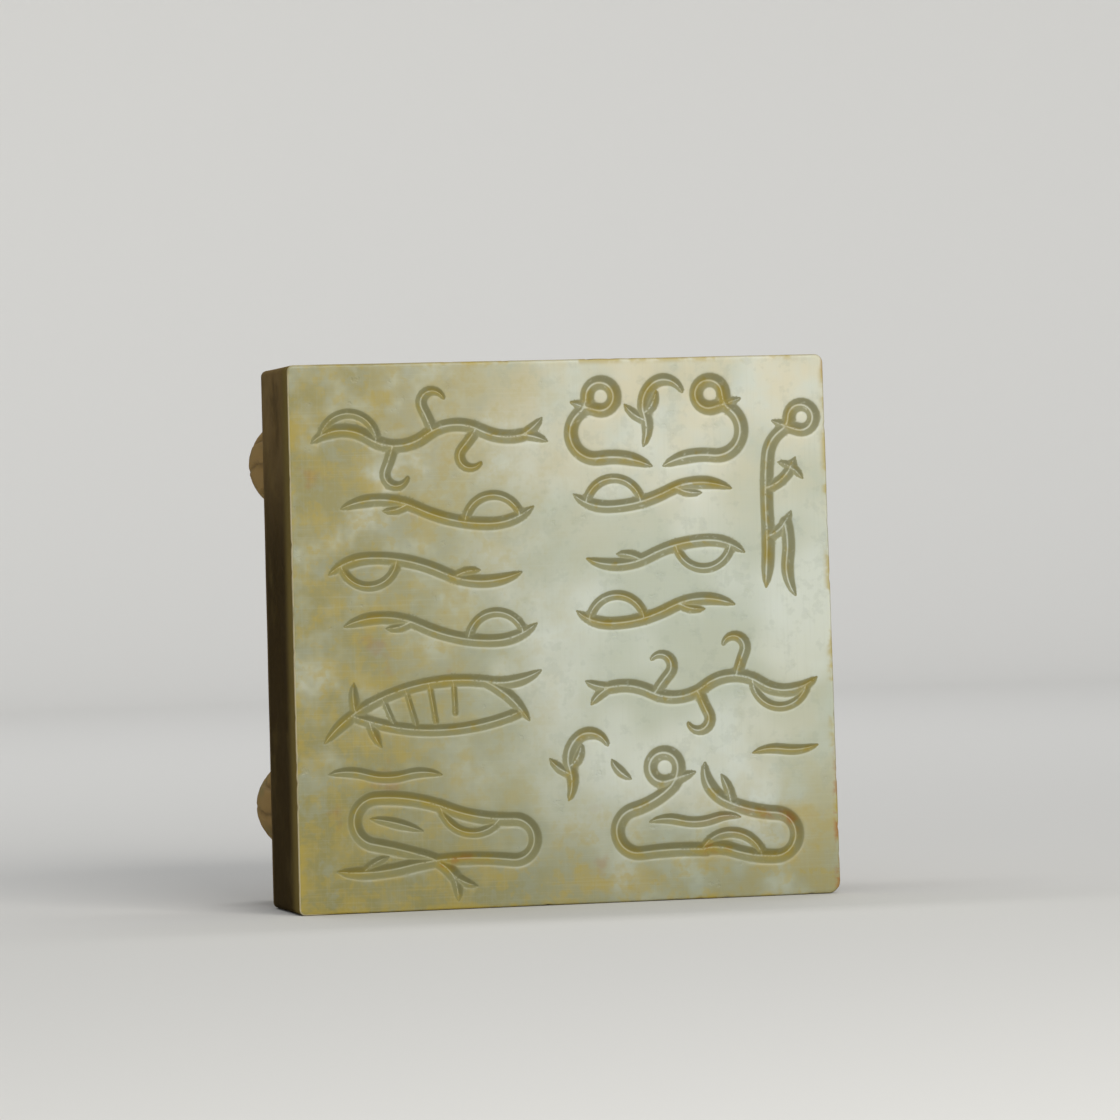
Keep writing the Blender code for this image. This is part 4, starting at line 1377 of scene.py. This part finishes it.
# %% Finished piece
stone_mesh.materials.clear()
stone_mesh.materials.append(jade)
for polygon in stone_mesh.polygons:
    polygon.material_index = 0
stone_mesh.shade_smooth()
for scrap in [obj for obj in bpy.data.objects if obj.name in (
        "strokes", "groove section", "block", "knob", "mass points", "limbs", "carved lines")]:
    bpy.data.objects.remove(scrap)
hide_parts("jade_seal")
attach(jade_stone, "root")
print("jade_seal_stone:", len(stone_mesh.polygons), "faces")

# %% [markdown]
# ## A plain studio
# A pale matt floor curves up into a wall all round, like a shallow bowl, so that no horizon line
# shows from any side. A soft light from the upper right shades the grooves' upper walls, a weaker
# one from the left keeps the seal's side readable, and a third lights the wall behind. Polished
# stone mirrors what stands round it, and a pale room would grey the brown side. A studio hangs
# black cloth there; here the floor and the world are hidden from reflections, and light bounces
# only twice.

# %% Floor
FLOOR_RADIUS = 1.1
BEND_RADIUS = 0.30
WALL_HEIGHT = 0.12


def studio_bowl():
    bend = [(FLOOR_RADIUS + BEND_RADIUS * math.sin(turn), BEND_RADIUS * (1 - math.cos(turn)))
            for turn in np.linspace(0, math.pi / 2, 16)]
    profile = [(0.0, 0.0)] + bend + [(FLOOR_RADIUS + BEND_RADIUS, BEND_RADIUS + WALL_HEIGHT)]
    body = bmesh.new()
    verts = [body.verts.new((away, 0, up)) for away, up in profile]
    edges = [body.edges.new(pair) for pair in zip(verts, verts[1:])]
    bmesh.ops.spin(body, geom=verts + edges, cent=(0, 0, 0), axis=(0, 0, 1), angle=2 * math.pi, steps=96,
                   use_duplicate=False)
    bmesh.ops.remove_doubles(body, verts=body.verts, dist=0.01 * MM)
    bmesh.ops.recalc_face_normals(body, faces=body.faces)
    bmesh.ops.reverse_faces(body, faces=body.faces)
    bowl = object_from(body, "studio_floor")
    bowl.data.shade_smooth()
    return bowl


def matt_paper():
    """Uncoated paper: pale, with no gloss at all."""
    paper = bpy.data.materials.new("matt studio paper")
    paper.use_nodes = True
    finish = paper.node_tree.nodes["Principled BSDF"].inputs
    finish["Base Color"].default_value = colour("#dcdbd8")
    finish["Roughness"].default_value = 0.95
    finish["Specular IOR Level"].default_value = 0.1
    return paper


studio_floor = studio_bowl()
studio_floor.data.materials.append(matt_paper())
print("studio floor made")

# %% Lights
def softbox(name, place, target, size, power, tint):
    lamp = bpy.data.lights.new(name, "AREA")
    lamp.shape = "RECTANGLE"
    lamp.size, lamp.size_y = size
    lamp.energy = power
    lamp.color = colour(tint)[:3]
    light = new_object(name, lamp)
    light.location = place
    light.rotation_euler = (Vector(target) - Vector(place)).to_track_quat("-Z", "Y").to_euler()
    return light


seal_middle = (0.0, FRONT, MIDDLE)
softbox("key softbox", (0.18, -0.80, 0.42), seal_middle, (0.5, 0.4), 5.7, "#fffdf8")
softbox("fill softbox", (-0.16, -1.10, 0.34), seal_middle, (0.8, 0.6), 1.7, "#f6f8ff")
softbox("wall softbox", (0.0, 0.45, 1.10), (0.0, 1.25, 0.20), (1.4, 0.5), 9.0, "#ffffff")

world = bpy.data.worlds.new("pale studio")
bpy.context.scene.world = world
world.use_nodes = True
world.node_tree.nodes["Background"].inputs["Color"].default_value = colour("#eceff2")
world.node_tree.nodes["Background"].inputs["Strength"].default_value = 0.32
bpy.context.scene.view_settings.view_transform = "Standard"
bpy.context.scene.cycles.diffuse_bounces = 2
studio_floor.visible_glossy = False
world.cycles_visibility.glossy = False
print("lights set")

# %% [markdown]
# ## Camera
# The photograph was taken with a long lens, level with the seal's middle and from a little to its
# left, so that the face shows nearly square and a sliver of its left side beside it. The values
# come from fitting the block's corners.

# %% Camera
CAMERA_PLACE = (-0.16552, -0.73939, 0.04425)
CAMERA_YAW = 13.01              # degrees that it looks to the right of straight back
CAMERA_ROLL = 1.676             # degrees that the seal leans anticlockwise in the frame
LENS = 183.70                   # millimetres, on a sensor 36 mm wide

lens = bpy.data.cameras.new("camera")
lens.sensor_width = 36.0
lens.lens = LENS
lens.clip_start = 0.01
camera = new_object("camera", lens)
camera.matrix_world = (Matrix.Translation(CAMERA_PLACE)
                       @ Euler((math.radians(90), 0, math.radians(-CAMERA_YAW))).to_matrix().to_4x4()
                       @ Matrix.Rotation(math.radians(-CAMERA_ROLL), 4, "Z"))
bpy.context.scene.camera = camera
print("camera at", CAMERA_PLACE)
